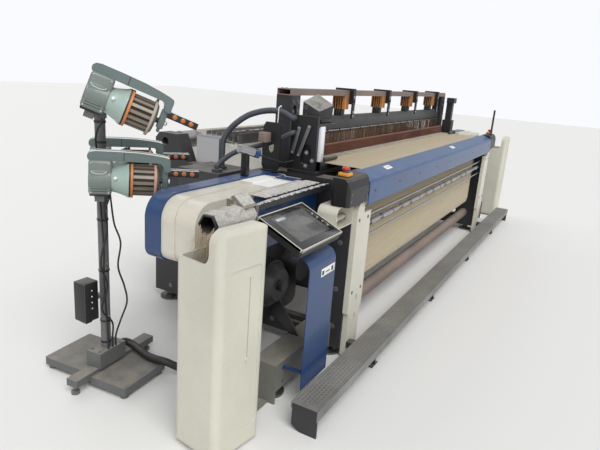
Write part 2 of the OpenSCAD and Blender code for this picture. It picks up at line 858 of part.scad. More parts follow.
// Fingers that hand the chosen weft to the rapier
module presenter_fingers() {
    color(steel) {
        bar_x(-outer_x + 110, -outer_x + 100 + cap_w, finger_y, finger_z, 8);
        for (i = [0:3]) translate([finger_x + i * 28, finger_y, finger_z]) {
            rotate([6, 0, 0]) translate([-5, -7, -190]) cube([10, 14, 190]);
            bar_x(-6, 6, 0, 0, 16);
        }
    }
}

// Right tower: catch and cutting unit on the right frame
module tower_right() {
    x0 = inner_x;
    y0 = -480;
    color(dark) {
        translate([x0, y0, head_z]) cube([side_t, 150, 20]);
        translate([x0 - 20, y0 + 20, head_z + 20]) cube([110, 110, 160]);
        translate([x0, y0 + 40, head_z + 180]) cube([70, 70, 200]);
        translate([x0 - 20, y0 + 20, head_z + 380]) cube([110, 90, 60]);
        for (a = [0:3])
            translate([x0 + 35, y0 + 20, head_z + 60 + a * 30]) rotate([90, 0, 0])
                cylinder(d = 22, h = 5);
    }
    color([0.15, 0.16, 0.17]) {
        translate([outer_x + 20, cap_front + 40, cover_top]) cylinder(d = 40, h = 8);
        translate([outer_x + 20, cap_front + 40, cover_top + 8]) cylinder(d = 22, h = 280);
    }
}

// Corrugated hoses, plain tubes along their routes
HOSE_UPPER = [
    [-160, -60, 1120], [-160, -60, 1200], [-155, -62, 1275], [-140, -85, 1335],
    [-115, -130, 1390], [-80, -180, 1435], [-60, -235, 1460], [-40, -290, 1475],
    [-25, -345, 1480], [-17, -400, 1472], [-17, -440, 1456], [-11, -462, 1445],
    [10, -462, 1445]
];
HOSE_LOWER = [
    [-270, -110, 1120], [-270, -110, 1138], [-235, -122, 1168], [-195, -160, 1210],
    [-160, -200, 1235], [-115, -250, 1255], [-65, -300, 1275], [-40, -350, 1295],
    [-25, -400, 1320], [-20, -440, 1345], [-12, -465, 1360], [10, -465, 1360]
];
CONDUIT = [
    [-2820.2, 93.4, 140], [-2790, 96, 140], [-2762, 88, 132], [-2748, 50, 116],
    [-2754, -10, 102], [-2760, -70, 94], [-2760, -130, 95], [-2745, -192, 92],
    [-2705, -250, 60], [-2650, -300, 32], [-2570, -345, 24], [-2480, -385, 24],
    [-2405, -415, 38], [-2352, -433, 86], [-2324, -440, 160], [-2320, -440, 230],
    [-2320, -440, 300]
];

function tangent(p, i) = unit(p[min(i + 1, len(p) - 1)] - p[max(i - 1, 0)]);
function side_of(t) = unit(cross(t, abs(t[2]) > 0.9 ? [0, 1, 0] : [0, 0, 1]));

// Tube swept along the points p
module tube(p, r, n) {
    rings = [for (i = [0:len(p) - 1]) let (t = tangent(p, i), u = side_of(t), v = cross(t, u))
        [for (k = [0:n - 1]) p[i] + r * (cos(k * 360 / n) * u + sin(k * 360 / n) * v)]];
    m = len(p);
    polyhedron(
        points = [for (ring = rings) for (q = ring) q],
        faces = concat(
            [[for (k = [0:n - 1]) k]],
            [for (i = [0:m - 2]) for (k = [0:n - 1]) each [
                [i * n + k, (i + 1) * n + k, (i + 1) * n + (k + 1) % n],
                [i * n + k, (i + 1) * n + (k + 1) % n, i * n + (k + 1) % n]
            ]],
            [[for (k = [n - 1:-1:0]) (m - 1) * n + k]]
        )
    );
}

module air_hoses() {
    color([0.2, 0.22, 0.24]) {
        tube([for (p = HOSE_UPPER) p - [outer_x, 0, 0]], 19, 10);
        tube([for (p = HOSE_LOWER) p - [outer_x, 0, 0]], 16, 10);
    }
}

module feeder_conduit() {
    color([0.15, 0.15, 0.15]) tube(CONDUIT, 22, 10);
}

// Tangent points of two circles, on the side that lies towards larger y
function tangent_angle(a, ra, b, rb) =
    let (d = b - a) atan2(d[1], d[0]) - acos((ra - rb) / norm(d));

// Warp sheet: off the beam, over the back rest and forward to the drop wires
module warp_sheet() {
    a = [beam_y, beam_z];
    b = [rest_y, rest_z];
    ra = yarn_r + rest_gap;
    rb = rest_r + rest_gap;
    t = tangent_angle(a, ra, b, rb);
    eye = [heald_at(3) + 40, cloth_z + 2];
    d = b - eye;
    slope = 90 + atan2(d[1], d[0]) + asin(rb / norm(d));
    path = concat(
        [[a[0] + ra * cos(t), a[1] + ra * sin(t)]],
        arc(b[0], b[1], rb, t, slope, 12),
        [eye]
    );
    color([0.78, 0.74, 0.64])
        yz(0, warp_w) polygon(sheet(path, -sheet_t));
}

// Warp stop motion: toothed bars with their drop wires, above the warp
module warp_stop_motion() {
    color(steel) {
        for (i = [0:drop_bars - 1]) translate([0, 150 + i * 45, 0]) {
            translate([-inner_x, 0, cloth_z + 100]) cube([2 * inner_x, 4, 24]);
            translate([0, 4, 0]) xz(0, 1.5) difference() {
                translate([-warp_w / 2, cloth_z + 62]) square([warp_w, 60]);
                for (k = [0:57]) translate([-warp_w / 2 + 20 + k * (warp_w - 40) / 58, cloth_z + 61])
                    square([(warp_w - 40) / 58 * 0.6, 45]);
            }
        }
        both_sides() translate([inner_x - 40, 130, cloth_z + 88]) cube([80, 190, 12]);
    }
    color(dark) both_sides() translate([inner_x, 130, head_z - 60])
        cube([60, 190, cloth_z + 88 - head_z + 60]);
}

// Shed drive: the machine that lifts the heald frames, with its links
module shed_drive() {
    color([0.2, 0.21, 0.22]) {
        translate([-outer_x - 320, -160, 260]) cube([320, 310, head_z - 280]);
        translate([-outer_x - 340, -130, 340]) cube([20, 250, 520]);
        for (p = [HOSE_UPPER[0], HOSE_LOWER[0]])
            translate([p[0] - outer_x, p[1], head_z - 20])
                cylinder(d = 62, h = p[2] - head_z + 20);
        translate([-outer_x - 160, -60, 120]) cube([160, 160, 140]);
    }
}

// Control cabinet on the right frame
module control_cabinet() {
    color([0.75, 0.74, 0.68]) {
        translate([outer_x, 60, 240]) cube([cabinet_w, cabinet_d, cabinet_h]);
        translate([outer_x + cabinet_w, 84, 270])
            cube([door_t, cabinet_d - 48, cabinet_h - 60]);
        for (z = [330:26:460]) translate([outer_x + cabinet_w + door_t, 180, z])
            cube([6, 320, 12]);
    }
    color(dark) translate([outer_x + cabinet_w + door_t, 110, 640]) cube([18, 24, 110]);
}

// Sley: rocker shaft, swords and the beam that carries the reed
module sley_beam() {
    y = -rocker_y;
    color(dark) {
        bar_x(-frame_x, frame_x, y, rocker_z, rocker_r);
        for (i = [0:swords - 1]) {
            x = -sley_half + 160 + i * (2 * sley_half - 320) / (swords - 1);
            yz(x, sword_t) {
                translate([y, rocker_z]) circle(r = rocker_r + 24);
                polygon([
                    [y - 52, rocker_z + 20], [y - 26, sley_top - 96], [y + 40, sley_top - 96],
                    [y + 52, rocker_z + 20]
                ]);
            }
        }
        yz(0, 2 * sley_half) polygon([
            [y - 24, sley_top], [-reed_y - reed_t - 2, sley_top], [-reed_y - reed_t - 2, sley_top - 14],
            [-reed_y + 2, sley_top - 14], [-reed_y + 2, sley_top], [y + 52, sley_top],
            [y + 52, sley_top - 96], [y - 6, sley_top - 96], [y - 24, sley_top - 60]
        ]);
    }
}

// Reed: two baulks with a row of dents between them
module reed() {
    pitch = warp_w / reed_gaps;
    low = sley_top - 14;
    color([0.45, 0.35, 0.3]) {
        xz(-reed_y - reed_t, reed_t) {
            translate([-sley_half + 20, low]) square([2 * sley_half - 40, 26]);
            translate([-sley_half + 20, low + reed_h]) square([2 * sley_half - 40, 14]);
        }
        xz(-reed_y - reed_t * 0.8, reed_t * 0.6) difference() {
            translate([-sley_half + 20, low + 20]) square([2 * sley_half - 40, reed_h - 10]);
            for (i = [0:reed_gaps - 1])
                translate([-warp_w / 2 + (i + dent_share / 2) * pitch, low + 26])
                    square([pitch * (1 - dent_share), reed_h - 26]);
        }
    }
}

// Heald frame: two beams, end struts, the healds and the fins that run in the guide blocks
module heald_frame(k) {
    y = heald_at(k);
    w = 2 * heald_half;
    color([0.3, 0.3, 0.31])
        xz(y - heald_t / 2, heald_t) {
            translate([-heald_half, heald_top - heald_beam_h]) square([w, heald_beam_h]);
            translate([-heald_half, heald_foot]) square([w, heald_beam_h * 0.75]);
            for (s = [-1, 1]) translate([s * (heald_half - 15) - 15, heald_foot])
                square([30, heald_top - heald_foot]);
            for (s = [-1, 1], z = [heald_top - 200, heald_foot + 90])
                translate([s * (heald_half + 9) - 9, z]) square([18, 120]);
            for (i = [0:3]) translate([guide_x(i) - 22, heald_top]) square([44, rail_z - heald_top - 55]);
        }
    low = heald_foot + heald_beam_h * 0.75 - 1;
    high = heald_top - heald_beam_h + 1;
    pitch = warp_w / healds;
    color([0.4, 0.27, 0.2])
        xz(y - 1.5, 3)
            for (i = [0:healds - 1])
                translate([-warp_w / 2 + (i + 0.5) * pitch - heald_w / 2, low])
                    square([heald_w, high - low]);
}

module heald_frame_1() {
    heald_frame(0);
}

module heald_frame_2() {
    heald_frame(1);
}

module heald_frame_3() {
    heald_frame(2);
}

module heald_frame_4() {
    heald_frame(3);
}

// Warp beam: barrel, ribbed flanges and journals
module warp_beam() {
    x1 = warp_w / 2 + 6;
    color([0.5, 0.52, 0.54]) {
        bar_x(-x1, x1, beam_y, beam_z, barrel_r);
        both_sides() {
            difference() {
                bar_x(x1, x1 + flange_t, beam_y, beam_z, flange_r);
                for (a = [0:60:300]) translate([x1 - 1, beam_y, beam_z]) rotate([a, 0, 0])
                    translate([0, flange_r * 0.62, 0]) rotate([0, 90, 0]) cylinder(d = flange_r * 0.26, h = flange_t + 2);
            }
            bar_x(x1 + flange_t, x1 + flange_t + 20, beam_y, beam_z, barrel_r + 20);
            for (a = [0:60:300]) translate([x1 + flange_t, beam_y, beam_z]) rotate([a + 30, 0, 0])
                translate([0, barrel_r, -5]) cube([12, flange_r - barrel_r - 12, 10]);
            bar_x(x1 + flange_t + 20, frame_x, beam_y, beam_z, journal_r + 12);
        }
    }
}

module warp_yarn() {
    x1 = warp_w / 2 + 6 - rest_gap;
    color([0.8, 0.77, 0.68]) difference() {
        bar_x(-x1, x1, beam_y, beam_z, yarn_r);
        bar_x(-x1 - 1, x1 + 1, beam_y, beam_z, barrel_r + rest_gap);
    }
}

module roller(y, z, r) {
    end = inner_x - 30;
    bar_x(-end, end, y, z, r);
    bar_x(-frame_x, frame_x, y, z, journal_r);
}

module backrest_roller() {
    color([0.75, 0.76, 0.78]) roller(rest_y, rest_z, rest_r);
}

module take_up_roller() {
    color([0.35, 0.35, 0.36]) roller(take_y, take_z, take_r);
}

module cloth_roll() {
    color([0.7, 0.64, 0.52]) {
        bar_x(-warp_w / 2, warp_w / 2, cloth_roll_y, cloth_roll_z, cloth_r);
        bar_x(-inner_x + 30, inner_x - 30, cloth_roll_y, cloth_roll_z, cloth_r - 24);
        bar_x(-frame_x, frame_x, cloth_roll_y, cloth_roll_z, journal_r);
    }
}

// Operator terminal, tilted towards the weaver
module terminal() {
    color([0.12, 0.12, 0.13]) translate([term_x, term_y, term_z]) rotate([term_tilt, 0, 0]) {
        difference() {
            translate([-term_w / 2, -term_h / 2, -term_t]) xy(0, term_t) rounded(term_w, term_h, 12);
            translate([-term_w / 2 + 10, -term_h / 2 + 10, -3]) xy(0, 4)
                rounded(term_w - 20, term_h - 20, 6);
        }
        for (s = [-1, 1]) difference() {
            yz(s * 50, 20) {
                translate([-26, -hinge_drop]) square([52, hinge_drop - term_t + 1]);
                translate([0, -hinge_drop]) circle(r = 26);
            }
            bar_x(-80, 80, 0, -hinge_drop, 16 + rest_gap);
        }
    }
}

module terminal_arm() {
    color([0.72, 0.7, 0.62]) {
        bar_x(term_x - 70, -outer_x, term_hinge_y, term_hinge_z, 16);
        bar_x(-outer_x - 190, -outer_x - 130, term_hinge_y, term_hinge_z, 24);
    }
}

// Feeder stand: base plates, post and the three feeder arms
FEEDERS = [
    [-housing_x + 50, -140, 1495, 21], [-housing_x + 95, -108, 1142, 2],
    [-housing_x + 325, 154, 1162, 0]
];
post_at = [-housing_x + 85, 85];
base_turn = 5;

module feeder_stand() {
    color([0.25, 0.26, 0.26]) {
        translate([post_at[0], post_at[1], 0]) rotate([0, 0, base_turn]) {
            for (p = [[-150, -265, 240], [-130, 30, 300]])
                translate([p[0], p[1], 24]) xy(0, 44) rounded(330, p[2], 10);
            translate([-248, -35, 50]) cube([598, 70, 40]);
            translate([-95, -50, 88]) cube([190, 100, 90]);
            for (p = [[-224, 0], [325, 0], [-120, -235], [150, -235], [-100, 300], [170, 300]])
                translate([p[0], p[1], 0]) {
                    cylinder(d = 44, h = 16);
                    cylinder(d = 16, h = 52);
                }
            translate([0, 0, 108]) cylinder(d = 52, h = post_h);
        }
        translate([post_at[0] - 161, post_at[1] - 40, 385]) cube([84, 80, 212]);
        translate([post_at[0] - 80, post_at[1] - 15, 480]) cube([68, 30, 20]);
    }
    color([0.3, 0.31, 0.31]) for (i = [0:2]) let (f = FEEDERS[i]) {
        translate([f[0], f[1], f[2]]) rotate([0, 0, feeder_yaw]) rotate([0, f[3], 0])
            translate([-162, -22, feeder_foot - 40]) cube([44, 44, 40]);
        feeder_arm(f, 66 + 8 * i);
    }
}

// Arm from the post to the clamp under one feeder, on a collar of its own diameter
module feeder_arm(f, collar_d) {
    low = feeder_foot - 28;
    reach = -140 * cos(f[3]) + low * sin(f[3]);
    v = [f[0] + reach * cos(feeder_yaw), f[1] + reach * sin(feeder_yaw)] - post_at;
    z = f[2] + low * cos(f[3]) + 140 * sin(f[3]);
    translate([post_at[0], post_at[1], z]) {
        rotate([0, 0, atan2(v[1], v[0])]) translate([0, -12, -12]) cube([norm(v), 24, 24]);
        translate([0, 0, -30]) cylinder(d = collar_d, h = 60);
    }
}

// One feeder along its own +X axis, yarn leaving at the nose
module feeder_unit() {
    disc_r = drum_r + 12;
    arm_z = disc_r + 6;
    nose_x = drum_l + 34;
    translate([-190, 0, 0]) rotate([0, 90, 0]) cylinder(r1 = 56, r2 = 66, h = 104);
    translate([-190, -50, feeder_foot]) cube([104, 100, arm_z - feeder_foot + 4]);
    difference() {
        translate([-90, 0, 0]) rotate([0, 90, 0]) cylinder(r1 = 62, r2 = disc_r, h = 84);
        translate([-14, 0, 0]) rotate([0, 90, 0]) cylinder(r = 16 + rest_gap, h = 9);
    }
    translate([8, 0, 0]) {
        rotate([0, 90, 0]) cylinder(r = drum_r - 12, h = drum_l - 4);
        for (i = [0:drum_slats - 1]) rotate([i * 360 / drum_slats, 0, 0])
            translate([0, -7, drum_r - 20]) cube([drum_l - 4, 14, 18]);
        translate([drum_l - 4, 0, 0]) rotate([0, 90, 0]) cylinder(r1 = drum_r, r2 = drum_r - 14, h = 14);
    }
    xz(-40, 80) polygon([
        [-190, arm_z], [-196, arm_z + 26], [-160, arm_z + 44], [40, arm_z + 44],
        [nose_x + 32, arm_z + 26], [nose_x + 34, arm_z - 40], [nose_x + 10, arm_z - 44],
        [nose_x - 12, arm_z]
    ]);
    translate([nose_x, -22, -34]) cube([28, 44, arm_z]);
    translate([drum_l + 14, 0, 0]) rotate([0, 90, 0]) cylinder(d = 26, h = 60);
}

module weft_feeders() {
    color([0.33, 0.4, 0.39]) for (f = FEEDERS)
        translate([f[0], f[1], f[2]]) rotate([0, 0, feeder_yaw]) rotate([0, f[3], 0]) feeder_unit();
}

module winding_disc(i) {
    f = FEEDERS[i];
    color([0.85, 0.5, 0.2]) translate([f[0], f[1], f[2]])
        rotate([0, 0, feeder_yaw]) rotate([0, f[3], 0]) {
            translate([-6 + rest_gap, 0, 0]) rotate([0, 90, 0]) cylinder(r = drum_r + 12, h = 14 - 2 * rest_gap);
            translate([-13, 0, 0]) rotate([0, 90, 0]) cylinder(r = 16, h = 8);
        }
}

module winding_disc_1() {
    winding_disc(0);
}

module winding_disc_2() {
    winding_disc(1);
}

module winding_disc_3() {
    winding_disc(2);
}

centred() side_frame_left();
centred() side_frame_right();
centred() cross_beams();
centred() base_beams();
centred() levelling_feet();
centred() step_board();
centred() step_brackets();
centred() breast_beam();
centred() breast_cover();
centred() corner_caps();
centred() front_columns();
centred() cloth();
centred() temple_bar();
centred() guard_rods();
centred() top_rail();
centred() frame_guides();
centred() guide_blocks();
centred() uprights();
centred() housing_backs();
centred() housing_covers();
centred() housing_caps();
centred() drive_case();
centred() side_cowl();
centred() waste_bin_left();
centred() waste_tube();
centred() selvedge_bar();
centred() cable_guard();
centred() estop_bases();
centred() tower_left();
centred() presenter_cap();
centred() tower_right();
centred() air_hoses();
centred() waste_bin_right();
centred() warp_sheet();
centred() warp_stop_motion();
centred() shed_drive();
centred() control_cabinet();
centred() sley_beam();
centred() reed();
centred() heald_frame_1();
centred() heald_frame_2();
centred() heald_frame_3();
centred() heald_frame_4();
centred() warp_beam();
centred() warp_yarn();
centred() backrest_roller();
centred() take_up_roller();
centred() cloth_roll();
centred() terminal();
centred() terminal_arm();
centred() estop_button_left();
centred() estop_button_right();
centred() stop_button();
centred() presenter_fingers();
centred() feeder_stand();
centred() weft_feeders();
centred() winding_disc_1();
centred() winding_disc_2();
centred() winding_disc_3();
centred() feeder_conduit();
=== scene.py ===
# Rapier power loom with its weft feeders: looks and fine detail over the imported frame.
import bpy, bmesh, math, random
from mathutils import Matrix, Vector


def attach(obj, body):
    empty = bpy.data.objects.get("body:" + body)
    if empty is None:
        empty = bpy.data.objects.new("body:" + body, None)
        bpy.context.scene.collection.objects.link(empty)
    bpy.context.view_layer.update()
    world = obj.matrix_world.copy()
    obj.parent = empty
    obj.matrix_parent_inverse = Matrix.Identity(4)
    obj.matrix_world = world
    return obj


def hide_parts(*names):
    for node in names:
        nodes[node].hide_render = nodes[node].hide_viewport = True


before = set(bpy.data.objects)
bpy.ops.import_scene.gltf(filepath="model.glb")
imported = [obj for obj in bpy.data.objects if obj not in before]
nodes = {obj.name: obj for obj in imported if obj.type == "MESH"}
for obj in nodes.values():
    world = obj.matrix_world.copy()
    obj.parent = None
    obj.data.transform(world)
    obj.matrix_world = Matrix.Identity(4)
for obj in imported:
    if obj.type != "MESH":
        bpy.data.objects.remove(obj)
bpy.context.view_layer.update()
random.seed(7)
print("frame loaded:", len(nodes), "nodes")


# Node building
class Wire:  # one output socket; sums on it become Math nodes
    def __init__(self, maker, socket):
        self.maker, self.socket = maker, socket

    def sum(self, operation, a, b=0.0):
        return self.maker.add("ShaderNodeMath", {"operation": operation}, {0: a, 1: b})

    def __add__(self, other): return self.sum("ADD", self, other)
    def __radd__(self, other): return self.sum("ADD", other, self)
    def __sub__(self, other): return self.sum("SUBTRACT", self, other)
    def __rsub__(self, other): return self.sum("SUBTRACT", other, self)
    def __mul__(self, other): return self.sum("MULTIPLY", self, other)
    def __rmul__(self, other): return self.sum("MULTIPLY", other, self)
    def sine(self): return self.sum("SINE", self)


class NodeMaker:  # adds nodes to a tree: settings first, then values or links
    def __init__(self, tree):
        self.tree = tree

    def add(self, kind, settings=None, inputs=None, output=0):
        node = self.tree.nodes.new(kind)
        for key, value in (settings or {}).items():
            setattr(node, key, value)
        for key, value in (inputs or {}).items():
            self.feed(node.inputs[key], value)
        return Wire(self, node.outputs[output])

    def feed(self, socket, value):
        if isinstance(value, Wire):
            self.tree.links.new(value.socket, socket)
        else:
            socket.default_value = value


looks = {}


class Finish(NodeMaker):  # one material round the Principled shader, kept in looks by its name
    def __init__(self, name):
        self.material = bpy.data.materials.new(name)
        self.material.use_nodes = True
        super().__init__(self.material.node_tree)
        self.shader = self.tree.nodes["Principled BSDF"]
        looks[name] = self.material

    def place(self, scale=(1, 1, 1)):
        at = self.add("ShaderNodeTexCoord", output="Object")
        return self.add("ShaderNodeMapping", inputs={"Vector": at, "Scale": scale})

    def axis(self, which):
        at = self.add("ShaderNodeTexCoord", output="Object")
        return self.add("ShaderNodeSeparateXYZ", inputs={0: at}, output=which)

    def noise(self, scale, detail=4, rough=0.55, stretch=(1, 1, 1)):
        return self.add("ShaderNodeTexNoise", inputs={
            "Vector": self.place(stretch), "Scale": scale, "Detail": detail, "Roughness": rough})

    def step(self, value, low, high):  # 0 below low, 1 above high
        return self.add("ShaderNodeMapRange", {"clamp": True}, {0: value, 1: low, 2: high})

    def settled(self, scale, detail, rough, low, high):  # dust on faces that look up
        return self.upward() * self.step(self.noise(scale, detail, rough), low, high)

    def mix(self, factor, a, b):
        return self.add("ShaderNodeMix", {"data_type": "RGBA"}, {0: factor, 6: a, 7: b}, output=2)

    def upward(self, low=0.35, high=0.95):
        normal = self.add("ShaderNodeTexCoord", output="Normal")
        z = self.add("ShaderNodeSeparateXYZ", inputs={0: normal}, output=2)
        return self.step(z, low, high)

    def shade(self, **sockets):
        for key, value in sockets.items():
            self.feed(self.shader.inputs[key.replace("_", " ")], value)
        return self.material

    def bump(self, height, strength=0.3, depth=0.002):
        return self.add("ShaderNodeBump", inputs={"Height": height, "Strength": strength, "Distance": depth})


def tone(r, g, b):  # screen colour, 0 to 255, as a linear colour
    line = [((c / 255 + 0.055) / 1.055) ** 2.4 if c > 10 else c / 255 / 12.92 for c in (r, g, b)]
    return (*line, 1)


def scaled(colour, share):
    return tuple(min(1, c * share) for c in colour[:3]) + (1,)


# Finishes: tones are screen colours, sizes are in metres and scales are patterns per metre
dustTone, lintTone = tone(150, 142, 130), tone(206, 202, 194)
slubTone, endGrain = tone(152, 138, 111), tone(112, 84, 60)
clothPitch, yarnPitch = 0.0045, 0.006


def paint(name, colour, rough=0.45, metal=0.0, dust=0.3, patch=0.12, grime=0.25, lift=0.12, coat=0.0,
          dustColour=dustTone):
    f = Finish(name)
    broad, fine, speck = f.noise(2.6, 5), f.noise(38, 6, 0.65), f.noise(260, 3)
    body = f.mix(f.step(broad, 0.35, 0.65), scaled(colour, 1 - patch), scaled(colour, 1 + patch))
    marks = f.step(fine, 0.52, 0.72) * grime
    body = f.mix(marks, body, scaled(colour, 0.55))
    settled = f.settled(9, 6, 0.7, 0.3, 0.62) * dust
    body = f.mix(settled, body, dustColour)
    f.shade(Base_Color=body, Roughness=rough + marks * 0.2 + settled * 0.35, Metallic=metal,
            Coat_Weight=coat, Coat_Roughness=0.12, Normal=f.bump(speck + fine * 0.6, lift, 0.0012))


def brushed(name, colour, rough=0.3, grainScale=(2, 900, 900), dust=0.2):
    f = Finish(name)
    lines = f.noise(1, 3, 0.6, grainScale)
    settled = f.settled(12, 5, 0.55, 0.4, 0.65) * dust
    body = f.mix(lines, scaled(colour, 0.72), colour)
    f.shade(Base_Color=f.mix(settled, body, dustTone), Metallic=0.9 - settled,
            Roughness=rough + lines * 0.18 + settled * 0.5, Normal=f.bump(lines, 0.12, 0.0006))


def woven(name, warpTone, weftTone):
    f = Finish(name)
    across, along = f.axis(0) * (math.tau / clothPitch), f.add("ShaderNodeUVMap", output=0)
    run = f.add("ShaderNodeSeparateXYZ", inputs={0: along}, output=1) * (math.tau / clothPitch)
    over = across.sine() * run.sine()
    slub = f.step(f.noise(1, 4, 0.6, (3, 60, 60)), 0.4, 0.7)
    body = f.mix(f.step(over, -0.4, 0.4), warpTone, weftTone)
    body = f.mix(slub * 0.4, body, slubTone)
    f.shade(Base_Color=body, Roughness=0.85, Sheen_Weight=0.25, Normal=f.bump(over + slub, 0.35, 0.0006))


def threads(name, colour, shadow):
    f = Finish(name)
    wave = (f.axis(0) * (math.tau / yarnPitch)).sine()
    drift = f.noise(3, 4, 0.6, (6, 0.6, 0.6))
    body = f.mix(f.step(wave + drift, -0.4, 1.1), scaled(colour, shadow), colour)
    f.shade(Base_Color=body, Roughness=0.8, Sheen_Weight=0.2, Normal=f.bump(wave, 0.4, 0.0008))


def timber(name, colour):
    f = Finish(name)
    rings = f.add("ShaderNodeTexWave", {"wave_type": "BANDS", "bands_direction": "Y"},
                  {"Vector": f.place((1, 1, 0.15)), "Scale": 26, "Distortion": 6, "Detail": 4})
    body = f.mix(rings, scaled(colour, 0.62), colour)
    f.shade(Base_Color=f.mix(f.step(f.noise(16, 5), 0.5, 0.7) * 0.5, body, endGrain), Roughness=0.55,
            Normal=f.bump(rings, 0.2, 0.0008))


def fluff(name, colour=lintTone, shadow=0.55):
    f = Finish(name)
    tufts = f.noise(55, 8, 0.75)
    body = f.mix(f.step(tufts, 0.35, 0.65), scaled(colour, shadow), colour)
    f.shade(Base_Color=body, Roughness=0.95, Sheen_Weight=0.4, Normal=f.bump(tufts, 0.8, 0.006))


def stepped(name, topTone, sideTone):  # dusty upper faces over clean sides
    f = Finish(name)
    mask = f.upward(0.3, 0.6) * f.step(f.noise(14, 6, 0.7), 0.2, 0.5)
    speck = f.noise(180, 4)
    body = f.mix(mask, f.mix(speck, sideTone, scaled(sideTone, 1.5)), topTone)
    f.shade(Base_Color=body, Roughness=0.6 + mask * 0.3, Normal=f.bump(speck, 0.2, 0.001))


paint("frameBlack", tone(44, 44, 47), 0.42, dust=0.55)
paint("deepBlack", tone(26, 26, 28), 0.4, dust=0.35)
paint("tieGrey", tone(128, 112, 104), 0.55, dust=0.5)
paint("baseGrey", tone(112, 112, 106), 0.5, dust=0.7)
brushed("footSteel", tone(120, 118, 114), 0.4, (200, 200, 30), 0.5)
paint("cream", tone(206, 202, 188), 0.36, dust=0.18, patch=0.05, grime=0.1, coat=0.2, lift=0.06)
paint("blue", tone(26, 60, 106), 0.34, dust=0.25, patch=0.1, grime=0.2, coat=0.25, lift=0.06,
      dustColour=tone(120, 132, 160))
brushed("brightSteel", tone(190, 190, 192), 0.24)
brushed("dullAlu", tone(136, 136, 140), 0.42, (3, 700, 700), 0.5)
brushed("beamAlu", tone(176, 178, 182), 0.36, (700, 40, 40), 0.2)
paint("healdBeam", tone(84, 84, 86), 0.4, 0.6, dust=0.5, grime=0.35)
paint("rustWire", tone(104, 76, 58), 0.6, 0.35, dust=0.1, patch=0.3, grime=0.5)
paint("reedSteel", tone(136, 96, 82), 0.45, 0.5, dust=0.2, patch=0.2)
timber("wood", tone(198, 136, 78))
woven("cloth", tone(192, 177, 145), tone(168, 152, 121))
threads("rolledCloth", tone(196, 180, 148), 0.75)
threads("warp", tone(214, 206, 186), 0.6)
stepped("capGrey", tone(142, 140, 134), tone(34, 34, 36))
paint("binCream", tone(202, 200, 185), 0.5, dust=0.1, patch=0.05, grime=0.12, lift=0.1)
paint("tubeGrey", tone(120, 116, 108), 0.6, dust=0.7, grime=0.5)
fluff("lint")
paint("terminalBlack", tone(30, 31, 34), 0.4, dust=0.2)
paint("yellow", tone(228, 156, 36), 0.4, dust=0.3, coat=0.3)
paint("red", tone(186, 40, 30), 0.32, dust=0.15, coat=0.5)
paint("feederGreen", tone(110, 120, 115), 0.36, dust=0.3, coat=0.3)
paint("discOrange", tone(188, 120, 66), 0.45, dust=0.15)
paint("standGrey", tone(96, 98, 97), 0.5, dust=0.7)
paint("stepGrey", tone(126, 127, 124), 0.5, 0.2, dust=0.45, patch=0.25, grime=0.45)
paint("driveDark", tone(58, 60, 62), 0.5, dust=0.5, grime=0.5)
paint("hoseBlack", tone(58, 62, 68), 0.55, dust=0.45, dustColour=tone(120, 128, 138))
paint("cableBlack", tone(30, 30, 31), 0.5, dust=0.2)
paint("ceramic", tone(232, 234, 230), 0.25, dust=0.1, patch=0.03, grime=0.08, coat=0.4, lift=0.02)
paint("coneMint", tone(150, 170, 162), 0.3, dust=0.35, patch=0.05, grime=0.1, coat=0.35, lift=0.04)
paint("armGreen", tone(92, 106, 104), 0.34, dust=0.35, patch=0.06, coat=0.3, lift=0.05)
paint("drumCap", tone(120, 112, 102), 0.45, 0.2, dust=0.3)
paint("brushPink", tone(188, 142, 128), 0.55, dust=0.2)
paint("brushGrey", tone(156, 152, 138), 0.55, dust=0.2)
paint("copper", tone(172, 104, 66), 0.4, 0.3, dust=0.15, patch=0.2)
paint("slatGrey", tone(128, 118, 106), 0.35, 0.35, dust=0.25, patch=0.15)
paint("glass", tone(16, 18, 22), 0.12, dust=0.12, patch=0.02, grime=0.05, coat=0.8, lift=0.01)
paint("screenGrey", tone(70, 73, 77), 0.2, dust=0.35, patch=0.15, grime=0.25, coat=0.6, lift=0.01)
paint("paper", tone(232, 232, 228), 0.7, dust=0.08, patch=0.03, grime=0.12, lift=0.03)
paint("lampWhite", tone(238, 240, 240), 0.35, dust=0.05, patch=0.02, grime=0.05, lift=0.02)
paint("palePlate", tone(198, 200, 200), 0.4, 0.3, dust=0.15)
paint("coverTop", tone(38, 74, 120), 0.36, dust=0.5, patch=0.08, grime=0.2, coat=0.2,
      dustColour=tone(112, 126, 146))
fluff("straw", tone(196, 174, 138), 0.65)

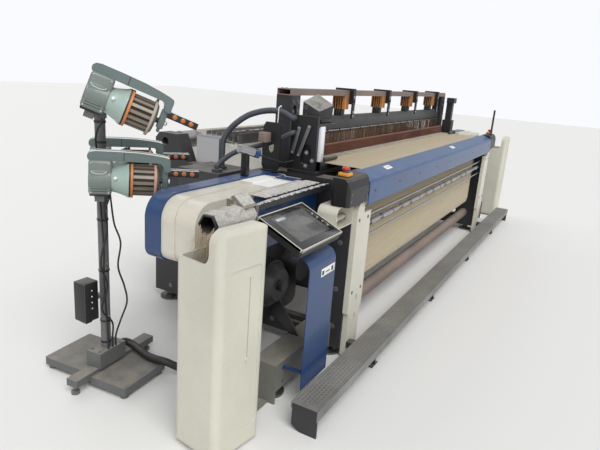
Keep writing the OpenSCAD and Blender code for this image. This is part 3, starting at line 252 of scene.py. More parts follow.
dressed = {
    "frameBlack": ["side_frame_left", "side_frame_right", "step_brackets", "breast_beam", "temple_bar",
                   "uprights", "drive_case", "selvedge_bar", "tower_right", "sley_beam"],
    "deepBlack": ["corner_caps", "frame_guides", "tower_left"],
    "tieGrey": ["cross_beams", "top_rail"],
    "baseGrey": ["base_beams"],
    "footSteel": ["levelling_feet"],
    "stepGrey": ["step_board"],
    "blue": ["housing_backs", "housing_caps", "cable_guard"],
    "coverTop": ["breast_cover"],
    "cream": ["front_columns", "housing_covers", "side_cowl", "control_cabinet", "terminal_arm"],
    "cloth": ["cloth"],
    "rolledCloth": ["cloth_roll"],
    "warp": ["warp_sheet", "warp_yarn"],
    "brightSteel": ["guard_rods", "warp_stop_motion", "backrest_roller", "presenter_fingers"],
    "wood": ["guide_blocks"],
    "binCream": ["waste_bin_left", "waste_bin_right"],
    "tubeGrey": ["waste_tube"],
    "yellow": ["estop_bases"],
    "capGrey": ["presenter_cap"],
    "hoseBlack": ["air_hoses", "take_up_roller"],
    "driveDark": ["shed_drive"],
    "reedSteel": ["reed"],
    "dullAlu": ["heald_frame_1", "heald_frame_2", "heald_frame_3", "heald_frame_4"],
    "beamAlu": ["warp_beam"],
    "terminalBlack": ["terminal"],
    "red": ["estop_button_left", "estop_button_right", "stop_button"],
    "standGrey": ["feeder_stand"],
    "feederGreen": ["weft_feeders"],
    "discOrange": ["winding_disc_1", "winding_disc_2", "winding_disc_3"],
    "cableBlack": ["feeder_conduit"],
}
for finishName, names in dressed.items():
    for nodeName in names:
        nodes[nodeName].data.materials.clear()
        nodes[nodeName].data.materials.append(looks[finishName])
print("finishes on the frame's nodes")

# Camera, floor and light
view = {"at": (-4.75, -1.95, 1.70), "right": (0.495, -0.8658, 0.0727), "down": (-0.2015, -0.1958, -0.9597),
        "lens": 31.96}
right, down = Vector(view["right"]).normalized(), Vector(view["down"]).normalized()
down = (down - right * down.dot(right)).normalized()
forward = right.cross(-down).normalized() * -1
cameraData = bpy.data.cameras.new("camera")
cameraData.sensor_width, cameraData.lens, cameraData.clip_end = 36, view["lens"], 60
camera = bpy.data.objects.new("camera", cameraData)
camera.matrix_world = Matrix.Translation(view["at"]) @ Matrix((right, -down, -forward)).transposed().to_4x4()
bpy.context.scene.collection.objects.link(camera)
bpy.context.scene.camera = camera

floorSettings = {"half": 30, "colour": tone(226, 225, 222)}
floorMesh = bpy.data.meshes.new("floor")
h = floorSettings["half"]
floorMesh.from_pydata([(-h, -h, 0), (h, -h, 0), (h, h, 0), (-h, h, 0)], [], [(0, 1, 2, 3)])
floor = bpy.data.objects.new("floor", floorMesh)
bpy.context.scene.collection.objects.link(floor)
floorFinish = Finish("studioFloor")
floorMesh.materials.append(floorFinish.shade(Base_Color=floorSettings["colour"], Roughness=0.7))

world = bpy.data.worlds.new("studio")
world.use_nodes = True
bpy.context.scene.world = world
sky = NodeMaker(world.node_tree)
rays = sky.add("ShaderNodeLightPath", output="Is Camera Ray")
glossy = sky.add("ShaderNodeLightPath", output="Is Glossy Ray")
background = world.node_tree.nodes["Background"]
background.inputs["Color"].default_value = (0.95, 0.965, 1, 1)
sky.feed(background.inputs["Strength"], 0.5 + rays * 0.5 + glossy * 0.15)


def softSun(name, towards, angle, strength):
    lamp = bpy.data.lights.new(name, "SUN")
    lamp.angle, lamp.energy = math.radians(angle), strength
    holder = bpy.data.objects.new(name, lamp)
    holder.rotation_euler = Vector(towards).to_track_quat("-Z", "Y").to_euler()
    bpy.context.scene.collection.objects.link(holder)


suns = {"keySun": ((0.45, 0.62, -1.0), 40, 2.0), "sideSun": ((0.9, 0.5, -0.35), 60, 0.55),
        "backSun": ((-0.3, -0.8, -0.6), 50, 0.5)}  # direction, softness in degrees, strength
for sunName, (towards, angle, strength) in suns.items():
    softSun(sunName, towards, angle, strength)
bpy.context.scene.view_settings.view_transform = "Standard"
print("camera, floor and light")


def around(count, phase=0.0):  # evenly spaced angles
    return [math.tau * (k + phase) / count for k in range(count)]


# Shapes: blocks, bars, turned forms and tubes gathered into one mesh
class Shape:
    def __init__(self, parts=None):
        self.bm = bmesh.new()
        self.fit(parts or {})

    def fit(self, parts, matrix=None):  # named parts, each a kind and its sizes
        for kind, *sizes in parts.values():
            getattr(self, kind)(*sizes, matrix=matrix)

    def keep(self, verts, finish, matrix=None):
        if matrix is not None:
            bmesh.ops.transform(self.bm, matrix=matrix, verts=verts)
        for f in {f for v in verts for f in v.link_faces}:
            f.material_index = finish

    def ring(self, points):
        return [self.bm.verts.new(p) for p in points]

    def skin(self, rings, finish=0, matrix=None, capped=True):  # faces from ring to ring, and over both ends
        for a, b in zip(rings, rings[1:]):
            for k in range(len(a)):
                n = (k + 1) % len(a)
                self.bm.faces.new((a[k], b[k], b[n], a[n]))
        if capped:
            self.bm.faces.new(rings[0])
            self.bm.faces.new(rings[-1])
        self.keep([v for ring in rings for v in ring], finish, matrix)

    def shell(self, top, under):  # two grids of corners, closed round their edges
        rows, columns = len(top) - 1, len(top[0]) - 1
        for grid in (top, under):
            for j in range(rows):
                for i in range(columns):
                    self.bm.faces.new((grid[j][i], grid[j][i + 1], grid[j + 1][i + 1], grid[j + 1][i]))
        for j in range(rows):
            for i in (0, columns):
                self.bm.faces.new((top[j][i], top[j + 1][i], under[j + 1][i], under[j][i]))
        for j in (0, rows):
            for i in range(columns):
                self.bm.faces.new((top[j][i], top[j][i + 1], under[j][i + 1], under[j][i]))

    def block(self, low, high, bevel=0.001, finish=0, steps=2, matrix=None):
        size = Vector(high) - Vector(low)
        made = bmesh.ops.create_cube(self.bm, size=1)["verts"]
        bmesh.ops.transform(self.bm, verts=made, matrix=Matrix.Translation(
            (Vector(high) + Vector(low)) / 2) @ Matrix.Diagonal((*size, 1)))
        if bevel:
            edges = list({e for v in made for e in v.link_edges})
            made = bmesh.ops.bevel(self.bm, geom=edges, offset=min(bevel, min(size) * 0.45), segments=steps,
                                   affect="EDGES", profile=0.5)["verts"]
        self.keep(made, finish, matrix)

    def turned(self, profile, at=(0, 0, 0), along=(1, 0, 0), sides=32, finish=0, matrix=None):
        turn = Vector((1, 0, 0)).rotation_difference(Vector(along)).to_matrix().to_4x4()
        base = Matrix.Translation(at) @ turn
        self.skin([self.ring(base @ Vector((x, r * math.cos(a), r * math.sin(a))) for a in around(sides))
                   for x, r in profile], finish, matrix)

    def bar(self, a, b, r, sides=20, finish=0, bevel=0.0, matrix=None):
        a, b = Vector(a), Vector(b)
        long = (b - a).length
        edge = min(bevel, r * 0.5)
        profile = [(0, r), (long, r)]
        if edge:
            profile = [(0, r - edge), (edge, r), (long - edge, r), (long, r - edge)]
        self.turned(profile, a, b - a, sides, finish, matrix)

    def tube(self, points, radii, sides=10, finish=0, matrix=None):
        rings, across = [], None
        for i, p in enumerate(points):
            run = (points[min(i + 1, len(points) - 1)] - points[max(i - 1, 0)]).normalized()
            if across is None:
                across = run.orthogonal().normalized()
            across = (across - run * across.dot(run)).normalized()
            up = run.cross(across)
            r = radii[i] if hasattr(radii, "__len__") else radii
            rings.append(self.ring(p + (across * math.cos(a) + up * math.sin(a)) * r for a in around(sides)))
        self.skin(rings, finish, matrix)

    def wire(self, points, gap, r, finish, matrix=None):  # a tube on a smooth curve
        self.tube(smoothPath(points, gap)[0], r, 8, finish, matrix)

    def profile(self, outline, lowX, highX, finish=0, matrix=None):  # Y-Z outline along X
        self.skin([self.ring((x, y, z) for y, z in outline) for x in (lowX, highX)], finish, matrix)

    def hull(self, corners, finish=0, bevel=0.004, matrix=None):  # the convex form round its corners
        made = self.ring(corners)
        whole = bmesh.ops.convex_hull(self.bm, input=made)["geom"]
        edges = list({e for g in whole if isinstance(g, bmesh.types.BMFace) for e in g.edges})
        bmesh.ops.dissolve_limit(self.bm, angle_limit=0.03, verts=made, edges=edges)
        edges = list({e for v in made if v.is_valid for e in v.link_edges})
        made = bmesh.ops.bevel(self.bm, geom=edges, offset=bevel, segments=2, affect="EDGES", profile=0.5)
        self.keep(made["verts"], finish, matrix)

    def holedPlate(self, centre, halfSize, halfHole, lowX, highX, finish=0, matrix=None):  # with an oval hole
        rim, hole = [], []
        for a in around(32, 0.5):
            c, s = math.cos(a), math.sin(a)
            r = 1 / max(abs(c) / halfSize[0], abs(s) / halfSize[1])
            rim.append((centre[0] + r * c, centre[1] + r * s))
            hole.append((centre[0] + halfHole[0] * c, centre[1] + halfHole[1] * s))
        loops = [self.ring((x, *p) for p in line) for x in (lowX, highX) for line in (rim, hole)]
        self.skin([loops[0], loops[1], loops[3], loops[2], loops[0]], finish, matrix, capped=False)

    def spread(self, parts, count, axis, at=(0, 0, 0)):  # the parts repeated round an axis
        for a in around(count):
            self.fit(parts, Matrix.Translation(at) @ Matrix.Rotation(a, 4, axis))

    def done(self, name, finishes, body, replaced=(), sharp=35, place=None):
        if place is not None:
            self.bm.transform(place)
        bmesh.ops.recalc_face_normals(self.bm, faces=self.bm.faces)
        mesh = bpy.data.meshes.new(name)
        self.bm.to_mesh(mesh)
        self.bm.free()
        return settle(mesh, name, finishes, body, replaced, sharp)


def settle(mesh, name, finishes, body, replaced=(), sharp=35):
    for f in finishes:
        mesh.materials.append(looks[f])
    mesh.shade_smooth()
    mesh.set_sharp_from_angle(angle=math.radians(sharp))
    piece = bpy.data.objects.new(name, mesh)
    bpy.context.scene.collection.objects.link(piece)
    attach(piece, body)
    if replaced:
        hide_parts(*replaced)
    return piece


def smoothPath(points, gap, perSpan=24):  # even steps along a smooth curve through the points
    p = [Vector(q) for q in points]
    fine = []
    for i in range(len(p) - 1):
        a, b, c, d = p[max(i - 1, 0)], p[i], p[i + 1], p[min(i + 2, len(p) - 1)]
        for k in range(perSpan):
            t = k / perSpan
            fine.append(0.5 * (2 * b + (c - a) * t + (2 * a - 5 * b + 4 * c - d) * t * t
                               + (3 * b - a - 3 * c + d) * t ** 3))
    fine.append(p[-1])
    runs = [0.0]
    for a, b in zip(fine, fine[1:]):
        runs.append(runs[-1] + (b - a).length)
    count = max(2, round(runs[-1] / gap))
    even, j = [], 0
    for k in range(count + 1):
        want = runs[-1] * k / count
        while j < len(runs) - 2 and runs[j + 1] < want:
            j += 1
        share = (want - runs[j]) / max(runs[j + 1] - runs[j], 1e-9)
        even.append(fine[j].lerp(fine[j + 1], min(max(share, 0), 1)))
    return even, runs[-1]


# Geometry Nodes: parts repeated in a row, on marked points, or round a ring
class Growth(NodeMaker):
    def __init__(self, name, sockets):
        tree = bpy.data.node_groups.new(name, "GeometryNodeTree")
        tree.interface.new_socket("Geometry", in_out="OUTPUT", socket_type="NodeSocketGeometry")
        tree.interface.new_socket("Geometry", in_out="INPUT", socket_type="NodeSocketGeometry")
        for label, kind in sockets.items():
            tree.interface.new_socket(label, in_out="INPUT", socket_type="NodeSocket" + kind)
        super().__init__(tree)
        self.given = tree.nodes.new("NodeGroupInput")

    def input(self, label):
        return Wire(self, self.given.outputs[label])

    def close(self, instances):
        whole = self.add("GeometryNodeRealizeInstances", inputs={0: instances})
        painted = self.add("GeometryNodeSetMaterial", inputs={0: whole, "Material": self.input("Finish")})
        end = self.tree.nodes.new("NodeGroupOutput")
        self.feed(end.inputs[0], painted)
        return self.tree


def rowTree():
    g = Growth("rowOfBars", {"Count": "Int", "Start": "Vector", "Pitch": "Vector", "Bar": "Vector",
                             "Play": "Vector", "Lean": "Vector", "Seed": "Int", "Finish": "Material"})
    line = g.add("GeometryNodeMeshLine", {"mode": "OFFSET"}, {
        "Count": g.input("Count"), "Start Location": g.input("Start"), "Offset": g.input("Pitch")})
    minus = {"operation": "SCALE"}
    spread = g.add("FunctionNodeRandomValue", {"data_type": "FLOAT_VECTOR"}, {
        0: g.add("ShaderNodeVectorMath", minus, {0: g.input("Play"), "Scale": -1.0}), 1: g.input("Play"),
        "Seed": g.input("Seed")})
    moved = g.add("GeometryNodeSetPosition", inputs={"Geometry": line, "Offset": spread})
    lean = g.add("FunctionNodeRandomValue", {"data_type": "FLOAT_VECTOR"}, {
        0: g.add("ShaderNodeVectorMath", minus, {0: g.input("Lean"), "Scale": -1.0}), 1: g.input("Lean"),
        "Seed": g.input("Seed")})
    bar = g.add("GeometryNodeMeshCube", inputs={"Size": g.input("Bar")})
    return g.close(g.add("GeometryNodeInstanceOnPoints", inputs={
        "Points": moved, "Instance": bar, "Rotation": lean}))


def studTree():
    g = Growth("studsOnPoints", {"Sides": "Int", "Radius": "Float", "Height": "Float", "Collar": "Float",
                                 "Finish": "Material"})
    aim = g.add("GeometryNodeInputNamedAttribute", {"data_type": "FLOAT_VECTOR"}, {"Name": "aim"})
    turn = g.add("FunctionNodeAlignRotationToVector", {"axis": "Z"}, {"Vector": aim})
    head = g.add("GeometryNodeMeshCylinder", {"fill_type": "NGON"}, {
        "Vertices": g.input("Sides"), "Radius": g.input("Radius"), "Depth": g.input("Height")})
    collar = g.add("GeometryNodeMeshCylinder", {"fill_type": "NGON"}, {
        "Vertices": 16, "Radius": g.input("Collar"), "Depth": g.input("Height") * 0.3})
    stud = g.add("GeometryNodeJoinGeometry")
    g.tree.links.new(collar.socket, stud.socket.node.inputs[0])
    g.tree.links.new(head.socket, stud.socket.node.inputs[0])
    return g.close(g.add("GeometryNodeInstanceOnPoints", inputs={
        "Points": g.input("Geometry"), "Instance": stud, "Rotation": turn}))


def ringTree():
    g = Growth("ringOfSlats", {"Count": "Int", "Radius": "Float", "Slat": "Vector", "Shift": "Float",
                               "Finish": "Material"})
    ring = g.add("GeometryNodeMeshCircle", inputs={"Vertices": g.input("Count"), "Radius": g.input("Radius")})
    at = g.add("GeometryNodeInputPosition")
    turn = g.add("FunctionNodeAlignRotationToVector", {"axis": "X"}, {"Vector": at})
    slat = g.add("GeometryNodeMeshCube", inputs={"Size": g.input("Slat")})
    placed = g.add("GeometryNodeInstanceOnPoints", inputs={"Points": ring, "Instance": slat, "Rotation": turn})
    lift = g.add("ShaderNodeCombineXYZ", inputs={2: g.input("Shift")})
    return g.close(g.add("GeometryNodeTranslateInstances", inputs={"Instances": placed, "Translation": lift}))


def grow(tree, name, finish, body, values, replaced=(), points=None, matrix=None):
    seedMesh = bpy.data.meshes.new(name + "Seed")
    if points:
        seedMesh.from_pydata([p for p, _ in points], [], [])
        aim = seedMesh.attributes.new("aim", "FLOAT_VECTOR", "POINT")
        aim.data.foreach_set("vector", [c for _, a in points for c in a])
    holder = bpy.data.objects.new(name + "Seed", seedMesh)
    bpy.context.scene.collection.objects.link(holder)
    modifier = holder.modifiers.new("grow", "NODES")
    modifier.node_group = tree
    names = {s.name: s.identifier for s in tree.interface.items_tree if s.in_out == "INPUT"}
    for label, value in {**values, "Finish": looks[finish]}.items():
        modifier[names[label]] = value
    bpy.context.view_layer.update()
    mesh = bpy.data.meshes.new_from_object(holder.evaluated_get(bpy.context.evaluated_depsgraph_get()))
    holder.modifiers.remove(modifier)
    bpy.data.objects.remove(holder)
    if matrix is not None:
        mesh.transform(matrix)
    if "aim" in mesh.attributes:
        mesh.attributes.remove(mesh.attributes["aim"])
    return settle(mesh, name, (), body, replaced)


barsInRow, studsOnPoints, slatsInRing = rowTree(), studTree(), ringTree()
datum = 0.130  # the datum line of the frame's depths, in metres behind its middle
shift = Matrix.Translation((0, datum, 0))  # for pieces that are written from the datum line
noPlay = {"Play": (0, 0, 0), "Lean": (0, 0, 0)}


def laid(points):  # a route or place in millimetres from the datum line, as metres in the row frame
    return [Vector((x / 1000, y / 1000 + datum, z / 1000)) for x, y, z in points]


# Corrugated air hoses and the feeders' conduit
hoseGap = 0.0021  # between the rings of a hose, fine enough for its ribs


def hose(name, route, radius, ribs, finish, replacedNode, depth=0.1, sides=18):
    points, length = smoothPath(laid(route), hoseGap)
    radii = [radius * (1 - depth * (0.5 + 0.5 * math.cos(math.tau * i * length / (len(points) - 1) / ribs)))
             for i in range(len(points))]
    shape = Shape()
    shape.tube(points, radii, sides)
    piece = shape.done(name, [finish], "frame", [replacedNode])
    points[::4] + [points[-1]]
    print(name, "length", round(length, 3))


hoseUpper = [(-2115, -60, 1120), (-2115, -60, 1200), (-2110, -62, 1275), (-2095, -85, 1335), (-2070, -130, 1390),
             (-2035, -180, 1435), (-2015, -235, 1460), (-1995, -290, 1475), (-1980, -345, 1480),
             (-1972, -400, 1472), (-1972, -440, 1456), (-1966, -462, 1445), (-1945, -462, 1445)]
hoseLower = [(-2225, -110, 1120), (-2225, -110, 1138), (-2190, -122, 1168), (-2150, -160, 1210),
             (-2115, -200, 1235), (-2070, -250, 1255), (-2020, -300, 1275), (-1995, -350, 1295),
             (-1980, -400, 1320), (-1975, -440, 1345), (-1967, -465, 1360), (-1945, -465, 1360)]
conduitRoute = [(-2820.2, 93.4, 140), (-2790, 96, 140), (-2762, 88, 132), (-2748, 50, 116), (-2754, -10, 102),
                (-2760, -70, 94), (-2760, -130, 95), (-2745, -192, 92), (-2705, -250, 60), (-2650, -300, 32),
                (-2570, -345, 24), (-2480, -385, 24), (-2405, -415, 38), (-2352, -433, 86), (-2324, -440, 160),
                (-2320, -440, 230), (-2320, -440, 300)]
hose("hoseUpper", hoseUpper, 0.019, 0.0085, "hoseBlack", "air_hoses")
hose("hoseLower", hoseLower, 0.016, 0.0075, "hoseBlack", "air_hoses")
hose("conduit", conduitRoute, 0.022, 0.012, "cableBlack", "feeder_conduit", depth=0.05)
print("hoses laid")

# Heald frames: hollow beams, struts, fins and rods, with wire healds between, and dark discs of painted shade for
# the holes in their beams
healdSizes = {"half": 1.690, "top": 1.420, "foot": 0.890, "thick": 0.012, "first": -0.318, "pitch": 0.020,
              "topBeam": 0.090, "lowBeam": 0.0675, "inset": 0.001, "rib": 0.0035, "ribEdge": 0.004,
              "strut": 0.015, "hook": 0.009, "hookHigh": 0.12, "hooks": (1.220, 0.980),
              "fin": 0.022, "finTop": 1.515,
              "rodGap": 0.014, "rod": (0.001, 0.004), "reach": 1.67, "riders": 17, "riderPitch": 0.2,
              "rider": (0.006, 0.004, 0.012), "healds": 300, "wire": (0.0026, 0.0009), "wireEnds": 0.185,
              "wireLow": 0.0225, "holes": 73, "holePitch": 0.045, "holeUp": 0.020, "holeRadius": 0.006,
              "holeDeep": 0.0012, "holeSink": 0.0009, "rodEnd": 0.004, "play": (0.0022, 0.0012, 0.0),
              "lean": (0.0, 0.004, 0.02)}
guideMiddles = [(i - 1.5) * 0.772 + 0.185 for i in range(4)]
for k in range(4):
    hs, number = healdSizes, str(k + 1)
    y, bodyName = hs["first"] + hs["pitch"] * k + datum, "heald_" + number
    t, half, top, foot, reach = hs["thick"] / 2, hs["half"], hs["top"], hs["foot"], hs["reach"]
    s = Shape()

    def centred(x, z, halves, low, bevel, finish=0):  # a block round the frame's own plane
        s.block((x - halves[0], y - halves[1], z - low), (x + halves[0], y + halves[1], z + halves[2]),
                bevel, finish)

    for low, high in ((top - hs["topBeam"], top), (foot, foot + hs["lowBeam"])):
        centred(0, low, (half, t - hs["inset"], high - low), 0, 0.002)
        for z in (low + hs["ribEdge"], (low + high) / 2, high - hs["ribEdge"]):
            centred(0, z, (half, t, hs["rib"]), hs["rib"], 0.001)
    for side in (-1, 1):
        centred(side * (half - hs["strut"]), foot, (hs["strut"], t, top - foot), 0, 0.002)
        for z in hs["hooks"]:
            centred(side * (half + hs["hook"]), z, (hs["hook"], t, hs["hookHigh"]), 0, 0.002)
    for x in guideMiddles:
        centred(x, top, (hs["fin"], t, hs["finTop"] - top), 0.002, 0.003)
    for z in (top - hs["topBeam"] - hs["rodGap"], foot + hs["lowBeam"] + hs["rodGap"]):
        centred(0, z, (reach, *hs["rod"]), hs["rod"][1], 0.0006, 1)
        for i in range(hs["riders"]):
            centred((i - hs["riders"] // 2) * hs["riderPitch"], z, hs["rider"], hs["rider"][2], 0.001, 2)
    s.done("healdFrame" + number, ["healdBeam", "brightSteel", "deepBlack"], bodyName,
           ["heald_frame_" + number])
    count, start = hs["healds"], reach - hs["rodEnd"]
    grow(barsInRow, "healds" + number, "rustWire", bodyName, {
        "Count": count, "Start": (-start, y, (top + foot - hs["wireLow"]) / 2),
        "Pitch": (2 * start / (count - 1), 0, 0), "Bar": (*hs["wire"], top - foot - hs["wireEnds"]),
        "Play": hs["play"], "Lean": hs["lean"], "Seed": 11 + k})
    # Painted shade: dark discs on the beam's face stand in for the shade inside its holes
    holes = [(((i - hs["holes"] // 2) * hs["holePitch"], y - t + hs["holeSink"], foot + hs["holeUp"]), (0, -1, 0))
             for i in range(hs["holes"])]
    grow(studsOnPoints, "beamHoleShade" + number, "deepBlack", bodyName,
         {"Sides": 12, "Radius": hs["holeRadius"], "Height": hs["holeDeep"], "Collar": hs["holeRadius"]},
         points=holes)

# Reed: two baulks and its row of fine dents
reedSizes = {"front": -0.398, "half": 1.660, "deep": 0.010,
             "baulks": ((1.114, 1.140, 0.0015), (1.230, 1.244, 0.003)), "dents": 560, "width": 3.34,
             "dent": (0.0012, 0.007, 0.094), "middle": 1.185}
rs = reedSizes
s = Shape()
y = rs["front"] + datum
for low, high, edge in rs["baulks"]:
    s.block((-rs["half"], y, low), (rs["half"], y + rs["deep"], high), edge)
s.done("reedBaulks", ["reedSteel"], "sley", ["reed"])
reedPitch = rs["width"] / rs["dents"]
grow(barsInRow, "reedDents", "reedSteel", "sley", {
    "Count": rs["dents"], "Start": (-rs["width"] / 2, y + rs["deep"] / 2, rs["middle"]),
    "Pitch": (reedPitch, 0, 0), "Bar": rs["dent"], **noPlay, "Seed": 3}, ["reed"])

# Warp: threads from the beam over the back rest, through the healds and reed to the fell
warpSizes = {"beam": (0.510, 0.520), "yarn": 0.3203, "rest": (0.560, 1.185), "restRadius": 0.0623,
             "stopMotion": (0.10, 1.1835), "eye": (-0.218, 1.1625), "reed": (-0.300, 1.1612),
             "fell": (-0.482, 1.160), "thread": 0.0011, "sway": 0.0008}
ws = warpSizes
beam, rest = Vector(ws["beam"]), Vector(ws["rest"])


def beside(middle, radius, angle):  # a point on a roll, as depth and height
    return (middle.x + radius * math.cos(angle), middle.y + radius * math.sin(angle))


span, fall = rest - beam, rest - Vector(ws["eye"])
leave = math.atan2(span.y, span.x) - math.acos((ws["yarn"] - ws["restRadius"]) / span.length)
land = math.radians(90) + math.atan2(fall.y, fall.x) + math.asin(ws["restRadius"] / fall.length)
warpPath = [beside(beam, ws["yarn"] + 0.001, leave)]
warpPath += [beside(rest, ws["restRadius"] + 0.0008, leave + (land - leave) * i / 8) for i in range(9)]
warpPath += [ws["stopMotion"], ws["eye"], ws["reed"], ws["fell"]]
s = Shape()
for i in range(rs["dents"] - 1):
    x = -rs["width"] / 2 + (i + 0.5) * reedPitch
    drift = random.uniform(-ws["sway"], ws["sway"])
    s.tube([Vector((x + drift * min(j, 3), depth + datum, z)) for j, (depth, z) in enumerate(warpPath)],
           ws["thread"], 4)
s.done("warpThreads", ["warp"], "frame", ["warp_sheet"], 60)
print("heald frames, reed and warp")


# Cloth: from the fell over the nose bar and down to the cloth roll
def clothSheet(name, path, halfWidth, thick, columns, finish, replaced):
    runs, normals = [0.0], []
    for a, b in zip(path, path[1:]):
        runs.append(runs[-1] + math.dist(a, b))
    for i in range(len(path)):
        a, b = path[max(i - 1, 0)], path[min(i + 1, len(path) - 1)]
        d = Vector((b[0] - a[0], b[1] - a[1])).normalized()
        normals.append(Vector((d.y, -d.x)))
    s = Shape()
    uv = s.bm.loops.layers.uv.new("along")
    sides = [[s.ring((-halfWidth + 2 * halfWidth * c / columns, p[0] + n.x * offset, p[1] + n.y * offset)
                     for c in range(columns + 1)) for p, n in zip(path, normals)] for offset in (0, thick)]
    s.shell(*sides)
    where = {v: runs[r] for grid in sides for r, row in enumerate(grid) for v in row}
    for face in s.bm.faces:
        for loop in face.loops:
            loop[uv].uv = (loop.vert.co.x, where[loop.vert])
    piece = s.done(name, [finish], "frame", replaced)
    print(name, "length", round(runs[-1], 3))


clothSizes = {"fell": -0.480, "level": 1.1603, "steps": 10, "step": 0.031, "nose": (-0.790, 1.1337),
              "noseRadius": 0.0266, "back": -0.8166, "drop": 0.0703, "half": 1.67, "thick": 0.0012, "columns": 60}
cs = clothSizes
nose = Vector(cs["nose"])
clothPath = [(cs["fell"] - cs["step"] * i, cs["level"]) for i in range(cs["steps"])]
clothPath += [beside(nose, cs["noseRadius"], math.radians(a)) for a in range(90, 181, 10)]
clothPath += [(cs["back"], nose.y - cs["drop"] * i) for i in range(1, cs["steps"] + 1)]
clothSheet("wovenCloth", [(a + datum, b) for a, b in clothPath], cs["half"], cs["thick"], cs["columns"], "cloth",
           ["cloth"])

# Weft feeders, each in its own frame: X along the drum, the near side is -Y
alongX, alongY, alongZ = (1, 0, 0), (0, 1, 0), (0, 0, 1)
feederPlaces = [((-2.950, -0.140, 1.495), 21), ((-2.905, -0.108, 1.142), 2), ((-2.675, 0.154, 1.162), 0)]
feederSizes = {"yaw": -43, "slats": 16, "slatRing": 0.0675, "slat": (0.017, 0.0145, 0.113), "slatMiddle": 0.0655,
               "knobs": (0.215, 0.255, 0.295), "bristles": 72, "brush": 0.0775, "bristleEnd": 0.0700,
               "screws": ((-0.178, -0.058), (-0.098, -0.058), (-0.178, 0.084), (-0.098, 0.084)),
               "screwY": -0.0555, "screwHead": {"Radius": 0.0035, "Height": 0.002, "Collar": 0.0045},
               "discStuds": 12}
feederLooks = ["feederGreen", "ceramic", "deepBlack", "coneMint", "armGreen", "drumCap", "brushPink", "brushGrey",
               "copper", "brightSteel"]
feederParts = {
    "motorCase": ("block", (-0.190, -0.054, -0.070), (-0.084, 0.054, 0.096), 0.014, 0, 4),
    "caseBulge": ("block", (-0.183, -0.058, -0.030), (-0.100, 0.058, 0.050), 0.006, 0, 3),
    "caseDrum": ("turned", [(0, 0.056), (0.004, 0.060), (0.100, 0.066)], (-0.190, 0, 0), alongX, 40),
    "foot": ("block", (-0.186, -0.030, -0.082), (-0.096, 0.030, -0.060), 0.004, 2),
    # Painted shade: two thin dark strips stand in for the shade in the case's grooves
    "lowGrooveShade": ("block", (-0.176, -0.0555, -0.0532), (-0.104, -0.0540, -0.0508), 0.0004, 2),
    "highGrooveShade": ("block", (-0.176, -0.0555, -0.0412), (-0.104, -0.0540, -0.0388), 0.0004, 2),
    "lamp": ("block", (-0.186, -0.0590, 0.002), (-0.172, -0.0575, 0.007), 0.0004, 8),
    "flaredCone": ("turned", [(0, 0.058), (0.004, 0.060), (0.030, 0.067), (0.062, 0.078), (0.078, 0.0865),
                              (0.083, 0.0875), (0.084, 0.086)], (-0.090, 0, 0), alongX, 64, 3),
    "coneScrew": ("bar", (-0.062, -0.064, 0.018), (-0.070, -0.078, 0.020), 0.0075, 16, 1, 0.0015),
    "coneSeal": ("turned", [(0, 0.084), (0.001, 0.0885), (0.005, 0.0885), (0.006, 0.084)], (-0.0065, 0, 0),
                 alongX, 64, 2),
    "armSplit": ("block", (-0.032, -0.0385, 0.096), (-0.029, -0.0360, 0.137), 0, 2),
    "noseBlock": ("block", (0.150, -0.022, -0.032), (0.180, 0.022, 0.060), 0.005, 4, 3),
    "eyeBracket": ("block", (0.158, -0.012, -0.052), (0.172, 0.012, -0.030), 0.003, 4),
    "noseShaft": ("turned", [(0, 0.013), (0.044, 0.013), (0.056, 0.010), (0.060, 0.006)], (0.134, 0, 0),
                  alongX, 24, 2),
    "noseEye": ("turned", [(0, 0.009), (0.004, 0.0125), (0.010, 0.0125), (0.014, 0.007)], (0.178, 0, 0),
                alongX, 24, 1),
    "frontCap": ("turned", [(0, 0.0740), (0.004, 0.0745), (0.012, 0.064), (0.016, 0.040), (0.017, 0.020)],
                 (0.1215, 0, 0), alongX, 48, 5),
    "drumCore": ("turned", [(0, 0.062), (0.116, 0.062)], (0.008, 0, 0), alongX, 48, 2),
    "brushBracket": ("block", (0.112, -0.012, 0.084), (0.122, 0.012, 0.096), 0.002, 4),
    "brakeNearSide": ("block", (0.176, -0.020, 0.030), (0.330, -0.016, 0.060), 0.0015, 2),
    "brakeFarSide": ("block", (0.176, 0.016, 0.030), (0.330, 0.020, 0.060), 0.0015, 2),
    "brakeFloor": ("block", (0.176, -0.018, 0.028), (0.330, 0.018, 0.033), 0.001, 2),
    "brakeNearLip": ("bar", (0.178, -0.018, 0.061), (0.330, -0.018, 0.061), 0.0013, 8, 1),
    "brakeFarLip": ("bar", (0.178, 0.018, 0.061), (0.330, 0.018, 0.061), 0.0013, 8, 1),
    "eyeIn": ("turned", [(0, 0.0045), (0.001, 0.007), (0.003, 0.007), (0.004, 0.0045)], (0.186, 0, 0.052),
              alongX, 20, 1),
    "eyeOut": ("turned", [(0, 0.0045), (0.001, 0.007), (0.003, 0.007), (0.004, 0.0045)], (0.322, 0, 0.052),
               alongX, 20, 1),
}
brushRing = [(0, 0.0775), (0, 0.0860), (0.003, 0.0875), (0.009, 0.0875), (0.012, 0.0855), (0.012, 0.0775)]
brakeKnob = {
    "disc": ("turned", [(0, 0.004), (0.003, 0.0115), (0.008, 0.0115), (0.010, 0.009), (0.0102, 0.004)],
             (0, -0.032, 0.046), alongY, 20, 8),
    "pin": ("bar", (0, -0.024, 0.046), (0, 0.018, 0.046), 0.003, 10, 9),
    "shoe": ("block", (-0.011, -0.010, 0.034), (0.011, 0.010, 0.040), 0.002, 9),
}
